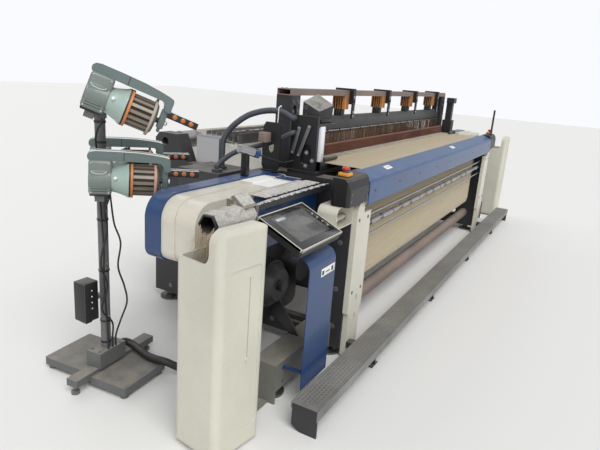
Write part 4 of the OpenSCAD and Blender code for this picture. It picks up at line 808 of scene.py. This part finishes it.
arm = {"outline": [(-0.190, 0.094), (-0.196, 0.106), (-0.195, 0.120), (-0.184, 0.132), (-0.160, 0.1375),
                   (-0.06, 0.1385), (0.040, 0.137), (0.110, 0.131), (0.160, 0.124), (0.182, 0.118),
                   (0.187, 0.108), (0.188, 0.056), (0.184, 0.052), (0.166, 0.050), (0.160, 0.056),
                   (0.155, 0.078), (0.142, 0.092), (0.120, 0.094)],
       "half": 0.036, "cheeks": (-0.0375, 0.0345), "cheek": 0.003,
       "edges": (-0.030, -0.019, 0.026), "edge": 0.0020, "above": 0.0006,
       "shrink": (0.985, 0.93), "back": 0.0003, "heart": 0.100}
oval = {"at": (-0.142, -0.0585, 0.046), "half": (0.034, 0.013), "steps": 14, "radius": 0.0012}
bristle = {"from": 0.1165, "to": 0.1215, "lean": 0.05, "radius": 0.0008}
discParts = {
    "rim": ("turned", [(0, 0.0765), (0, 0.0855), (0.002, 0.0880), (0.011, 0.0880), (0.0135, 0.0855),
                       (0.0135, 0.0765)], (0, 0, 0), alongX, 72, 0),
    "hub": ("turned", [(0, 0.010), (0.0015, 0.016), (0.007, 0.016), (0.008, 0.010)], (0, 0, 0), alongX, 32, 0),
}
discStud = {"stud": ("block", (0.0075, -0.0025, 0.0775), (0.0086, 0.0025, 0.0845), 0.0004, 1)}
quarter = math.radians(90)
for i, (at, tilt) in enumerate(feederPlaces):
    fs, number = feederSizes, str(i + 1)
    local = (Matrix.Translation((at[0], at[1] + datum, at[2])) @ Matrix.Rotation(math.radians(fs["yaw"]), 4, "Z")
             @ Matrix.Rotation(math.radians(tilt), 4, "Y"))
    s = Shape(feederParts)
    x, y, z = oval["at"]
    s.tube([Vector((x + oval["half"][0] * math.cos(a), y, z + oval["half"][1] * math.sin(a)))
            for a in [math.pi * (1 + k / oval["steps"]) for k in range(oval["steps"] + 1)]], oval["radius"], 6, 1)
    turnArm = Matrix.Rotation(quarter, 4, "Z")
    s.profile([(-x, z) for x, z in arm["outline"]], -arm["half"], arm["half"], 4, turnArm)
    for y in arm["cheeks"]:  # a little smaller than the arm, so that its edge shows
        s.profile([(-x * arm["shrink"][0] + arm["back"], arm["heart"] + (z - arm["heart"]) * arm["shrink"][1])
                   for x, z in arm["outline"]], y, y + arm["cheek"], 4, turnArm)
    for y in arm["edges"]:
        s.tube([Vector((x, y, z + arm["above"])) for x, z in arm["outline"][3:10]], arm["edge"], 6, 1)
    s.turned(brushRing, (0.1105, 0, 0), alongX, 64, 6 if i else 7)
    for a in around(fs["bristles"]):
        r, end = fs["brush"], fs["bristleEnd"]
        b = a + bristle["lean"]
        s.tube([Vector((bristle["from"], r * math.cos(a), r * math.sin(a))),
                Vector((bristle["to"], end * math.cos(b), end * math.sin(b)))], bristle["radius"], 4, 1)
    for x in fs["knobs"]:
        s.fit(brakeKnob, Matrix.Translation((x, 0, 0)))
    s.done("feeder" + number, feederLooks, "frame", ["weft_feeders"], place=local)
    grow(slatsInRing, "drumSlats" + number, "slatGrey", "frame", {
        "Count": fs["slats"], "Radius": fs["slatRing"], "Slat": fs["slat"], "Shift": fs["slatMiddle"]},
        ["weft_feeders"], matrix=local @ Matrix.Rotation(quarter, 4, "Y"))
    holes = [(tuple(local @ Vector((x, fs["screwY"], z))), tuple(local.to_3x3() @ Vector((0, -1, 0))))
             for x, z in fs["screws"]]
    grow(studsOnPoints, "feederScrews" + number, "brightSteel", "frame",
         {"Sides": 12, **fs["screwHead"]}, points=holes)
    s = Shape(discParts)
    s.spread(discStud, fs["discStuds"], "X")
    s.done("windingDisc" + number, ["discOrange", "copper"], "disc_" + number,
           ["winding_disc_" + number], place=local)
print("feeders")

# Presenter cap: a block with a slanted dusty roof and round marks on its side
capSizes = {"front": -0.578, "back": -0.458, "left": -1.852, "right": -1.678, "low": 1.4222,
            "leftTops": (1.496, 1.545), "rightTops": (1.530, 1.592), "lean": 0.012,
            "marks": ((-0.482, 1.510, 0.011), (-0.486, 1.470, 0.006), (-0.540, 1.452, 0.008)),
            "markHigh": 0.0015, "dotHigh": 0.001, "dotShare": 0.55,
            "sillEnds": (0.01, -0.02), "sillDepths": (-0.012, 0.004), "sillHeights": (1.424, 1.446)}
c = capSizes
depths = (c["front"], c["back"])
s = Shape()
s.hull([(x, y, c["low"]) for x in (c["left"], c["right"]) for y in depths]
       + [(c["left"], y, z) for y, z in zip(depths, c["leftTops"])]
       + [(c["right"] + c["lean"], y, z) for y, z in zip(depths, c["rightTops"])], 0, 0.005)
for y, z, r in c["marks"]:
    x, dot = c["left"] - c["markHigh"], r * c["dotShare"]
    s.turned([(0, r), (c["markHigh"], r), (0.002, r * 0.8)], (x, y, z), alongX, 24, 1)
    s.turned([(0, dot), (c["dotHigh"], dot)], (x - c["dotHigh"], y, z), alongX, 20, 2)
corners = [(x + inset, c["front"] + depth, z) for x, inset, depth, z in zip(
    (c["left"], c["right"]), c["sillEnds"], c["sillDepths"], c["sillHeights"])]
s.block(*corners, 0.003, 2)
s.done("presenterCap", ["capGrey", "dullAlu", "deepBlack"], "frame", ["presenter_cap"], place=shift)

# Tower fittings: lamp strip, links, bolts, valve plate, cylinder and grey block
cylinderRun = (0.90, -0.34, -0.26)
towerParts = {
    "lampStrip": ("block", (-1.9036, -0.6326, 1.2000), (-1.8624, -0.5958, 1.4105), 0.002, 0),
    "lampFoot": ("block", (-1.9020, -0.6330, 1.2000), (-1.8640, -0.6300, 1.2480), 0.001, 1),
    "lampSocket": ("block", (-1.9050, -0.6400, 1.1420), (-1.8610, -0.5900, 1.2005), 0.004, 2),
    "valvePlate": ("holedPlate", (-0.375, 1.272), (0.062, 0.146), (0.020, 0.034), -2.054, -2.046, 2),
    "valveFoot": ("block", (-2.060, -0.437, 1.1255), (-2.020, -0.313, 1.134), 0.002, 2),
    "greyBlock": ("block", (-2.112, -0.372, 1.300), (-2.054, -0.318, 1.358), 0.004, 5),
    "cylinder": ("turned", [(0, 0.020), (0.002, 0.024), (0.10, 0.024), (0.103, 0.021)], (-2.345, -0.352, 1.284),
                 cylinderRun, 28, 4),
    "cylinderEnd": ("turned", [(0, 0.019), (0.002, 0.026), (0.034, 0.026), (0.038, 0.020)],
                    (-2.252, -0.387, 1.257), cylinderRun, 28, 6),
    "cylinderPost": ("block", (-2.315, -0.385, 1.1255), (-2.285, -0.345, 1.262), 0.003, 2),
    "airPipe": ("wire", [(-2.225, -0.398, 1.245), (-2.06, -0.452, 1.190), (-1.99, -0.458, 1.186),
                         (-1.942, -0.470, 1.190)], 0.006, 0.005, 2),
    "wireHook": ("wire", [(-2.030, -0.395, 1.405), (-2.030, -0.398, 1.450), (-2.035, -0.402, 1.500),
                          (-2.020, -0.408, 1.515), (-2.005, -0.400, 1.505)], 0.006, 0.0028, 7),
    "hookFoot": ("block", (-2.052, -0.410, 1.400), (-2.010, -0.380, 1.408), 0.002, 2),
}
towerLinks = {"x": -1.953, "ends": (((-0.503, 1.393), (-0.466, 1.245)), ((-0.570, 1.407), (-0.509, 1.233))),
              "bolts": ((-0.559, 1.252), (-0.600, 1.208), (-0.558, 1.172)), "plate": (-0.004, -0.008, -0.011),
              "past": 0.008, "pin": [(0, 0.007), (0.004, 0.007), (0.005, 0.005)], "pinX": -0.006,
              "washer": [(0, 0.014), (0.003, 0.014), (0.004, 0.012)], "washerX": -1.9455,
              "head": [(0, 0.009), (0.008, 0.009), (0.009, 0.007)], "headX": -1.9480,
              "rod": ((-2.352, -0.345, 1.300), (-2.236, -0.389, 1.266)), "rods": 3, "rodPitch": 0.012}
tl, towardsLeft = towerLinks, (-1, 0, 0)
s = Shape(towerParts)
for (y1, z1), (y2, z2) in tl["ends"]:
    long = math.hypot(z2 - z1, y2 - y1)
    bar = Matrix.Translation((tl["x"], y1, z1)) @ Matrix.Rotation(math.atan2(z2 - z1, y2 - y1), 4, "X")
    x, y, z = tl["plate"]
    s.block((x, y, z), (-x, long + tl["past"], -z), 0.002, 3, matrix=bar)
    for t in (0.0, long):
        s.turned(tl["pin"], (tl["pinX"], t, 0), towardsLeft, 6, 4, bar)
for y, z in tl["bolts"]:
    s.turned(tl["washer"], (tl["washerX"], y, z), towardsLeft, 28, 3)
    s.turned(tl["head"], (tl["headX"], y, z), towardsLeft, 6, 4)
for k in range(tl["rods"]):
    a, b = ((x, y - tl["rodPitch"] * k, z) for x, y, z in tl["rod"])
    s.bar(a, b, 0.003, 8, 4)
s.done("towerFittings", ["lampWhite", "palePlate", "deepBlack", "dullAlu", "brightSteel", "tieGrey", "blue",
                         "ceramic"], "frame", place=shift)

# Housing: paper sheet, stripe and the lint along its front edge
trimSizes = {"ledge": [(-0.588, 1.1093), (-0.480, 1.1093), (-0.472, 1.1175), (-0.398, 1.1175)], "under": 0.0006,
             "strips": ((-2.385, -2.175, 0.0008, 0), (-2.150, -2.045, 0.0006, 1), (-2.156, -2.1495, 0.0009, 0),
                        (-2.0455, -2.039, 0.0009, 0)),  # left, right, lift and finish
             "plate": ((-2.845, -0.5912, 1.020), (-2.600, -0.5895, 1.045))}
s = Shape()
for low, high, lift, finish in trimSizes["strips"]:
    s.profile([(y, z - trimSizes["under"]) for y, z in trimSizes["ledge"]]
              + [(y, z + lift) for y, z in reversed(trimSizes["ledge"])], low, high, finish)
s.block(*trimSizes["plate"], 0.0006, 2)
s.done("housingTrim", ["paper", "blue", "palePlate"], "frame", place=shift)


lintSizes = {"lumpEvery": 0.018, "lumpWide": (0.02, 0.05), "lumpHigh": (0.3, 1.0), "fray": (0.006, 0.9),
             "wave": (0.005, 0.37), "lift": 0.001, "flat": 0.35, "most": 1.6, "share": 0.4, "rough": 0.12}


def lintStrip(name, low, high, thickness, grid, seed):  # a lumpy felt lying on a ledge
    ls, draw = lintSizes, random.Random(seed)
    (nx, ny), (fray, frayPace), (wave, wavePace) = grid, ls["fray"], ls["wave"]
    s = Shape()
    lumps = [(draw.uniform(low[0], high[0]), draw.uniform(low[1], high[1]), draw.uniform(*ls["lumpWide"]),
              draw.uniform(*ls["lumpHigh"])) for _ in range(int((high[0] - low[0]) / ls["lumpEvery"]))]
    top, under = [[] for _ in range(ny + 1)], [[] for _ in range(ny + 1)]
    for j in range(ny + 1):
        v = j / ny
        for i in range(nx + 1):
            x = low[0] + (high[0] - low[0]) * i / nx
            edge = fray * math.sin(i * frayPace + seed) + wave * math.sin(i * wavePace)
            y = low[1] + (high[1] - low[1]) * v + (edge if j in (0, ny) else 0)
            near = sum(h * math.exp(-((x - a) ** 2 + (y - b) ** 2) / w ** 2) for a, b, w, h in lumps)
            full = thickness * min(1, 4 * v, 4 * (1 - v), 6 * i / nx, 6 * (1 - i / nx))  # thin at its rim
            felt = full * (ls["flat"] + min(near, ls["most"]) * ls["share"]) + draw.uniform(0, ls["rough"]) * full
            top[j] += s.ring([(x, y, low[2] + ls["lift"] + felt)])
            under[j] += s.ring([(x, y, low[2])])
    s.shell(top, under)
    s.done(name, ["lint"], "frame", sharp=80, place=shift)


lintStrips = {  # low and high corner, thickness, grid and seed
    "lintOnHousing": ((-2.56, -0.684, 1.0955), (-1.985, -0.592, 1.0955), 0.016, (190, 12), 5),
    "lintOnBar": ((-2.745, -0.7355, 1.0955), (-1.975, -0.7245, 1.0955), 0.009, (180, 5), 8),
    "lintOnBackRest": ((-1.80, 0.145, 1.2845), (1.80, 0.154, 1.2845), 0.004, (300, 3), 9),
}
for name, sizes in lintStrips.items():
    lintStrip(name, *sizes)

# Terminal: glass, screen and rim, on the tilting body, written in the plane of its face
terminalSizes = {"at": (-2.514, -0.875, 0.986), "lean": 24, "keys": 4, "keyPitch": 0.035}
terminalParts = {
    "glass": ("block", (-0.1995, -0.1295, -0.0028), (0.1995, 0.1295, -0.0008), 0.0008, 0),
    "screen": ("block", (-0.150, -0.088, -0.0010), (0.150, 0.100, -0.0002), 0.0006, 1),
    "bareStrip": ("block", (-0.130, 0.070, -0.0003), (-0.050, 0.088, 0.0002), 0.0003, 2),
    "rimFront": ("block", (-0.210, -0.140, -0.014), (0.210, -0.1325, 0.0012), 0.0016, 3),
    "rimLeft": ("block", (-0.210, -0.140, -0.014), (-0.2025, 0.140, 0.0012), 0.0016, 3),
    "rimRight": ("block", (0.2035, -0.140, -0.014), (0.210, 0.140, 0.0012), 0.0016, 3),
    "rimBack": ("block", (-0.210, 0.1335, -0.014), (0.210, 0.140, 0.0012), 0.0016, 3),
}
ts = terminalSizes
s = Shape(terminalParts)
for k in range(ts["keys"]):
    s.turned([(0, 0.005), (0.0012, 0.005), (0.0016, 0.004)], (0.175, -0.06 + k * ts["keyPitch"], -0.001), alongZ,
             18, 2)
s.done("terminalFace", ["glass", "screenGrey", "palePlate", "cream"], "operator_terminal",
       place=shift @ Matrix.Translation(ts["at"]) @ Matrix.Rotation(math.radians(ts["lean"]), 4, "X"))

# Bare plates on the cable guard and on the slope of the front cover
guardPlate = {
    "plate": ("block", (-2.425, -0.9616, 0.700), (-2.272, -0.9598, 0.744), 0.0008, 0),
    "leftField": ("block", (-2.418, -0.9622, 0.709), (-2.396, -0.9612, 0.733), 0.0004, 1),
    "rightField": ("block", (-2.312, -0.9622, 0.709), (-2.290, -0.9612, 0.733), 0.0004, 1),
    "middleField": ("block", (-2.380, -0.9622, 0.716), (-2.330, -0.9612, 0.722), 0.0003, 1),
}
coverPlate = {
    "plate": ("block", (-0.052, -0.019, -0.0010), (0.052, 0.019, 0.0016), 0.0012, 0),
    "field": ("block", (-0.030, -0.006, 0.0012), (0.030, 0.006, 0.0020), 0.0004, 2),
}
coverSlope = {"places": (-1.412, 0.270), "y": -0.8880, "z": 1.1546, "lean": 22.4}
s = Shape(guardPlate)
for x in coverSlope["places"]:
    s.fit(coverPlate, Matrix.Translation((x, coverSlope["y"], coverSlope["z"]))
          @ Matrix.Rotation(math.radians(coverSlope["lean"]), 4, "X"))
s.done("barePlates", ["paper", "deepBlack", "palePlate"], "frame", place=shift)

# Emergency stops: yellow housings with dark seams, and their red mushrooms
stopSizes = {"reach": 2.060, "y": -0.878, "z": 1.172}
stopHousing = {
    "case": ("block", (-0.0315, -0.0315, 0.004), (0.0315, 0.0315, 0.0238), 0.004, 0, 3),
    "seam": ("block", (-0.032, -0.032, 0.0002), (0.032, 0.032, 0.0045), 0.001, 1),
    "collar": ("turned", [(0, 0.0235), (0.002, 0.0235), (0.003, 0.0215), (0.003, 0.0125), (0.001, 0.0125)],
               (0, 0, 0.0238), alongZ, 32, 1),
}
stopScrew = {"screw": ("turned", [(0, 0.0035), (0.001, 0.0035), (0.0014, 0.0025)], (0.024, 0.024, 0.0236),
                       alongZ, 12, 2)}
stopMushroom = {"head": ("turned", [(0, 0.009), (0, 0.011), (0.021, 0.011), (0.025, 0.019), (0.027, 0.0232),
                                    (0.033, 0.0242), (0.038, 0.0225), (0.0410, 0.016), (0.0420, 0.008)],
                         (0, 0, 0.013), alongZ, 40, 0)}
stopMark = {"mark": ("block", (0.010, -0.0012, 0.0535), (0.018, 0.0012, 0.0550), 0.0003, 1)}
for side, word in ((-1, "left"), (1, "right")):
    place = shift @ Matrix.Translation((side * stopSizes["reach"], stopSizes["y"], stopSizes["z"]))
    s = Shape(stopHousing)
    s.spread(stopScrew, 4, "Z")
    s.done("stopHousing" + word.title(), ["yellow", "deepBlack", "brightSteel"], "frame",
           ["estop_bases"], place=place)
    s = Shape(stopMushroom)
    s.spread(stopMark, 3, "Z")
    s.done("stopMushroom" + word.title(), ["red", "ceramic"], word + "_stop",
           ["estop_button_" + word], place=place)
print("tower, housing, terminal and stops")

# Waste tube: lint wrapped round a six-sided mouth, with strands that fall into the bin
tubeSizes = {"at": (-3.060, -0.720, 1.065), "length": 0.300, "outer": 0.050, "inner": 0.042, "strands": 300,
             "falling": 60, "rows": 34, "rowPitch": 0.0084, "sides": 30, "lintStart": 0.012, "lintEnd": 0.2892,
             "lintInner": 0.0425, "strandReach": 0.29, "strandRise": 0.004, "strandLong": (0.008, 0.024),
             "strandRadius": 0.0007, "bend": 0.012, "mouth": 0.036, "fall": (0.05, 0.15),
             "fallPoints": (0.3, 0.6, 1.0), "drift": -0.012, "fallRadius": 0.0008}
tubeSeat = {"seat": ("block", (-2.760, -0.770, 1.0212), (-2.7542, -0.5905, 1.1088), 0.001, 3)}
ts = tubeSizes
draw = random.Random(21)
s = Shape()
at = Vector(ts["at"])


def tubeRing(x, radii):  # a ring round the waste tube's axis
    return s.ring(at + Vector((x, r * math.cos(a), r * math.sin(a))) for a, r in zip(around(len(radii)), radii))


walls = [tubeRing(x, [r] * 6) for x, r in (
    (0.004, ts["inner"]), (0.0, ts["inner"]), (-0.001, ts["outer"]), (ts["length"], ts["outer"]),
    (ts["length"], ts["inner"]))]
s.skin(walls + walls[:1], 0, capped=False)
rings = []
for i in range(ts["rows"]):
    radii = []
    for a in around(ts["sides"]):
        flat = ts["outer"] * math.cos(math.radians(30)) / math.cos((a % math.radians(60)) - math.radians(30))
        lump = 0.0025 + 0.0030 * (1 + math.sin(3 * a + i * 0.7)) * draw.random() + 0.002 * draw.random()
        radii.append(flat + lump)
    rings.append(tubeRing(ts["lintStart"] + i * ts["rowPitch"], radii))
lining = [tubeRing(x, [ts["lintInner"]] * ts["sides"]) for x in (ts["lintStart"], ts["lintEnd"])]
s.skin([lining[0]] + rings + [lining[1], lining[0]], 1, capped=False)
for n in range(ts["strands"]):
    a, x = draw.uniform(0, math.tau), draw.uniform(0.0, ts["strandReach"])
    r = ts["outer"] + ts["strandRise"]
    start = at + Vector((x, r * math.cos(a), r * math.sin(a)))
    out = Vector((draw.uniform(-0.4, 0.4), math.cos(a), math.sin(a)))
    bend = Vector((draw.uniform(-1, 1), draw.uniform(-1, 1), draw.uniform(-1, 0.4))) * ts["bend"]
    long = draw.uniform(*ts["strandLong"])
    s.tube([start, start + out * long * 0.5 + bend * 0.4, start + out * long * 0.7 + bend],
           ts["strandRadius"], 3, 1)
for n in range(ts["falling"]):
    a = draw.uniform(math.pi, math.tau)
    start = at + Vector((0.0, ts["mouth"] * math.cos(a), ts["mouth"] * math.sin(a)))
    points = [start]
    sway = Vector((draw.uniform(-0.05, 0.03), draw.uniform(-0.06, 0.06), 0))
    fall = draw.uniform(*ts["fall"])
    for t in ts["fallPoints"]:
        points.append(start + sway * t * draw.uniform(0.6, 1.2) + Vector((ts["drift"], 0, -fall * t)))
    s.tube(points, ts["fallRadius"], 3, 2)
s.fit(tubeSeat)
s.done("wasteTube", ["deepBlack", "lint", "straw", "tubeGrey"], "frame", ["waste_tube"], 70, shift)
deflectorParts = {
    "plate": ("profile", [(-0.764, 1.1083), (-0.714, 1.1083), (-0.679, 1.148), (-0.699, 1.160)],
              -2.8499, -2.7601, 0),
    "lint": ("profile", [(-0.762, 1.1095), (-0.702, 1.1595), (-0.697, 1.1575), (-0.755, 1.1085)],
             -2.8505, -2.7595, 1),
}
Shape(deflectorParts).done("tubeDeflector", ["tubeGrey", "lint"], "frame", place=shift)
binStrands = {"count": 220, "at": (-3.173, -0.880, 0), "turn": -8, "middle": (0.148, 0.135),
              "spread": (0.045, 0.035), "level": 0.80, "heap": 0.05, "low": 0.035,
              "wide": 0.26, "deep": 0.235, "radius": 0.0011}
bs = binStrands
s = Shape()
for n in range(bs["count"]):
    x, y = (draw.gauss(middle, spread) for middle, spread in zip(bs["middle"], bs["spread"]))
    points = [Vector((x, y, bs["level"] + draw.uniform(0, bs["heap"])))]
    for _ in range(4):
        points.append(points[-1] + Vector((draw.uniform(-0.03, 0.03), draw.uniform(-0.03, 0.03),
                                           draw.uniform(-0.006, 0.014))))
    if all(bs["low"] < q.x < bs["wide"] and bs["low"] < q.y < bs["deep"] for q in points):
        s.tube(points, bs["radius"], 3, 0)
s.done("wasteStrands", ["straw"], "frame", sharp=80, place=(
    shift @ Matrix.Translation(bs["at"]) @ Matrix.Rotation(math.radians(bs["turn"]), 4, "Z")))

# Step: raised tread pattern and a worn bright lip
treadSizes = {"rows": 7, "count": 216, "left": -2.70, "stagger": 0.0125, "front": -1.146, "rowPitch": 0.0195,
              "top": 0.1603, "pitch": 0.025, "nib": (0.013, 0.0045, 0.0022), "turn": 0.5,
              "lips": ((-2.738, -0.95), (-0.94, 0.92), (0.93, 2.738)),
              "lipLow": (-1.1606, 0.1545), "lipHigh": (-1.1560, 0.1606), "lipEdge": 0.0012}
ts = treadSizes
for row in range(ts["rows"]):
    grow(barsInRow, "treadRow%d" % (row + 1), "dullAlu", "frame", {
        "Count": ts["count"],
        "Start": (ts["left"] + ts["stagger"] * (row % 2), ts["front"] + ts["rowPitch"] * row + datum, ts["top"]),
        "Pitch": (ts["pitch"], 0, 0), "Bar": ts["nib"], "Play": (0, 0, 0), "Lean": (0, 0, ts["turn"]),
        "Seed": 40 + row})
s = Shape()
for low, high in ts["lips"]:
    s.block((low, *ts["lipLow"]), (high, *ts["lipHigh"]), ts["lipEdge"])
s.done("stepLip", ["dullAlu"], "frame", place=shift)

# Rolls: cloth wound on its roller, warp wound on the beam
rolls = {
    "woundCloth": {"rides": "cloth_winder", "slot": "cloth", "node": "cloth_roll", "look": "rolledCloth",
                   "axis": (-0.732, 0.430), "radii": (0.028, 0.0838), "seed": 4, "fittings": [
                       ("bar", (-1.90, 0, 0), (1.90, 0, 0), 0.028, 32, 1, 0.003)] + [
                       ("turned", [(0, 0.040), (0.003, 0.044), (0.040, 0.044), (0.043, 0.040)],
                        (side * 1.72 - 0.0215, 0, 0), alongX, 32, 1) for side in (-1, 1)] + [
                       ("turned", [(0, 0.056), (0.003, 0.060), (0.014, 0.060), (0.017, 0.056)],
                        (side * 1.6905 - 0.0085, 0, 0), alongX, 32, 2) for side in (-1, 1)]},
    "woundWarp": {"rides": "warp_roll", "slot": "yarn", "node": "warp_yarn", "look": "warp",
                  "axis": (0.510, 0.520), "radii": (0.1103, 0.3198), "seed": 6, "fittings": []},
}
rollSizes = {"half": 1.668, "layers": 14, "steps": 150, "uneven": 0.0014, "lift": 0.0004, "lay": 0.0015,
             "inner": 0.0012, "outer": 0.0022, "play": 0.001, "rim": 0.004, "margin": 0.01}
for name, roll in rolls.items():
    rs, draw = rollSizes, random.Random(roll["seed"])
    coreR, outR = roll["radii"]
    profile = [(0, coreR + rs["lift"])]
    for k in range(rs["layers"]):
        r = coreR + (outR - coreR) * (k + 1) / rs["layers"]
        profile += [(rs["inner"] * (k % 2) + draw.uniform(0, rs["play"]), r - rs["lay"]),
                    (rs["outer"] * (k % 2), r)]
    profile[-1] = (rs["rim"], outR)
    inside = rs["half"] - rs["margin"]
    body = [(rs["margin"] + 2 * inside * k / rs["steps"], outR - draw.uniform(0, rs["uneven"]))
            for k in range(rs["steps"] + 1)]
    s = Shape()
    s.turned(profile + body + [(2 * rs["half"] - x, r) for x, r in reversed(profile)], (-rs["half"], 0, 0),
             sides=72)
    s.fit(dict(enumerate(roll["fittings"])))
    s.done(name, [roll["look"], "brightSteel", "dullAlu"], roll["rides"], [roll["node"]], 50,
           shift @ Matrix.Translation((0, *roll["axis"])))

# Drop wires under the toothed bars of the stop motion
dropWires = {"rows": 4, "count": 380, "half": 1.655, "front": 0.1526, "rowPitch": 0.045, "middle": 1.2315,
             "wire": (0.0006, 0.0100, 0.092)}
dw = dropWires
for i in range(dw["rows"]):
    grow(barsInRow, "dropWires%d" % (i + 1), "brightSteel", "frame", {
        "Count": dw["count"], "Start": (-dw["half"], dw["front"] + dw["rowPitch"] * i + datum, dw["middle"]),
        "Pitch": (2 * dw["half"] / (dw["count"] - 1), 0, 0), "Bar": dw["wire"], "Play": (0.001, 0.001, 0.004),
        "Lean": (0.02, 0.0, 0.03), "Seed": 60 + i})

# Bolts on frames, covers, caps and guides: look, slot, sides, radius, height, collar, then places and directions
boltRows = {
    "frameBolts": ("dullAlu", "frame_black", 6, 0.013, 0.010, 0.017,
                   [((side * 1.9552, y, z), (side, 0, 0)) for side in (-1, 1) for y, z in (
                       (-0.84, 0.20), (-0.84, 0.45), (-0.84, 0.75), (-0.40, 0.12), (0.05, 0.12), (0.50, 0.12),
                       (0.60, 0.40), (0.60, 0.80))]),
    "columnBolts": ("dullAlu", "cream_paint", 6, 0.008, 0.006, 0.011,
                    [((side * x, -0.9345, z), (0, -1, 0)) for side in (-1, 1) for x in (1.79, 1.92)
                     for z in (0.44, 0.90)]),
    "coverScrews": ("deepBlack", "blue_paint", 12, 0.005, 0.003, 0.007,
                    [((-1.76 + i * 0.44, -0.9522, 1.060), (0, -1, 0)) for i in range(9)]),
    "capScrews": ("dullAlu", "frame_black", 12, 0.006, 0.004, 0.008,
                  [((side * x, -0.9522, z), (0, -1, 0)) for side in (-1, 1) for x in (1.89, 2.11)
                   for z in (1.045, 1.085)]),
    "guideBolts": ("brightSteel", "clamp_black", 6, 0.007, 0.006, 0.010,
                   [((x + 0.058, -0.3802, z), (0, -1, 0)) for x in guideMiddles for z in (1.42, 1.45, 1.56)]),
    "postBolts": ("dullAlu", "frame_black", 6, 0.011, 0.008, 0.014,
                  [((side * x, -0.3500, z), (0, -1, 0)) for side in (-1, 1) for x in (1.72, 1.78)
                   for z in (1.10, 1.47, 1.53)]),
    "railBolts": ("dullAlu", "tie_grey", 6, 0.008, 0.006, 0.011,
                  [((side * x, y, 1.6102), (0, 0, 1)) for side in (-1, 1) for x in (1.73, 1.78)
                   for y in (-0.330, -0.262)]),
    "baseBolts": ("dullAlu", "base_grey", 6, 0.010, 0.008, 0.014,
                  [((side * x, -0.8302, z), (0, -1, 0)) for side in (-1, 1) for x in (2.05, 2.52)
                   for z in (0.10, 0.18)]),
    "cabinetScrews": ("dullAlu", "cream_paint", 12, 0.006, 0.004, 0.008,
                      [((2.2972, y, z), (1, 0, 0)) for y in (0.105, 0.575) for z in (0.30, 0.65, 1.04)]),
    "standBolts": ("dullAlu", "stand_grey", 6, 0.008, 0.007, 0.012,
                   [((-2.915 + dx, 0.085 + dy, 0.1782), (0, 0, 1)) for dx in (-0.07, 0.07)
                    for dy in (-0.03, 0.03)]),
}
for name, (finish, slotName, sides, r, high, collar, spots) in boltRows.items():
    grow(studsOnPoints, name, finish, "frame", {"Sides": sides, "Radius": r, "Height": high, "Collar": collar},
         points=[((x, y + datum, z), aim) for (x, y, z), aim in spots])
print("tube, step, rolls, drop wires and bolts")

# Feeder stand: switch box front, clamps, and the feeders' cables down the post
standParts = {
    "switchBox": ("block", (-3.0772, 0.0432, 0.3835), (-2.9908, 0.1268, 0.5985), 0.006, 0, 3),
    "boxFront": ("block", (-3.0700, 0.0418, 0.400), (-2.9980, 0.0436, 0.585), 0.001, 1),
    "boxSeal": ("block", (-3.060, 0.060, 0.368), (-3.020, 0.110, 0.385), 0.004, 1),
}
standSizes = {"lamps": (0.555, 0.522, 0.489, 0.456), "clamps": (0.205, 0.33, 0.62, 0.90, 1.02, 1.30, 1.40),
              "ties": (0.36, 0.66, 0.95), "post": (-2.915, 0.085), "tieLow": (-2.921, 0.050),
              "tieHigh": (-2.909, 0.058), "tieHeight": 0.012, "lampAt": (-3.034, 0.0414),
              "lamp": [(0, 0.0035), (0.0012, 0.0035)],
              "clamp": [(0, 0.0265), (0.001, 0.0290), (0.011, 0.0290), (0.012, 0.0265)]}
ss = standSizes
s = Shape(standParts)
for z in ss["lamps"]:
    s.turned(ss["lamp"], (*ss["lampAt"], z), (0, -1, 0), 14, 2)
for z in ss["clamps"]:
    s.turned(ss["clamp"], (*ss["post"], z), alongZ, 32, 1)
for z in ss["ties"]:
    s.block((*ss["tieLow"], z), (*ss["tieHigh"], z + ss["tieHeight"]), 0.002, 3)
s.done("standFittings", ["terminalBlack", "deepBlack", "ceramic", "brightSteel"], "frame",
       place=shift)
cable = {"across": 0.010, "sides": 10}
cableRoutes = [
    [(-3012, -42, 1436), (-3004, -30, 1410), (-3000, 0, 1385), (-2985, 36, 1330), (-2965, 52, 1260),
     (-2956, 54, 1160), (-2955, 54, 1040), (-2948, 44, 760), (-2952, 44, 600), (-2936, 43, 240),
     (-2936, 43, 179)],
    [(-2957, -18, 1072), (-2957, -14, 1040), (-2968, 8, 960), (-2932, 34, 860), (-2990, 20, 700),
     (-2948, 24, 560), (-2975, 38, 430), (-2910, 38, 330), (-2905, 44, 240), (-2905, 45, 179)],
    [(-2768, 200, 1090), (-2770, 196, 1050), (-2800, 150, 960), (-2830, 96, 860), (-2822, 60, 760),
     (-2860, 40, 640), (-2826, 34, 520), (-2812, 30, 420), (-2850, 40, 320), (-2880, 46, 240),
     (-2880, 48, 179)],
]
for i, route in enumerate(cableRoutes):
    points, length = smoothPath(laid(route), cable["across"])
    s = Shape()
    s.tube(points, cable["across"] / 2, cable["sides"])
    piece = s.done("feederCable%d" % (i + 1), ["cableBlack"], "frame")
    print("feederCable%d" % (i + 1), "length", round(length, 3))
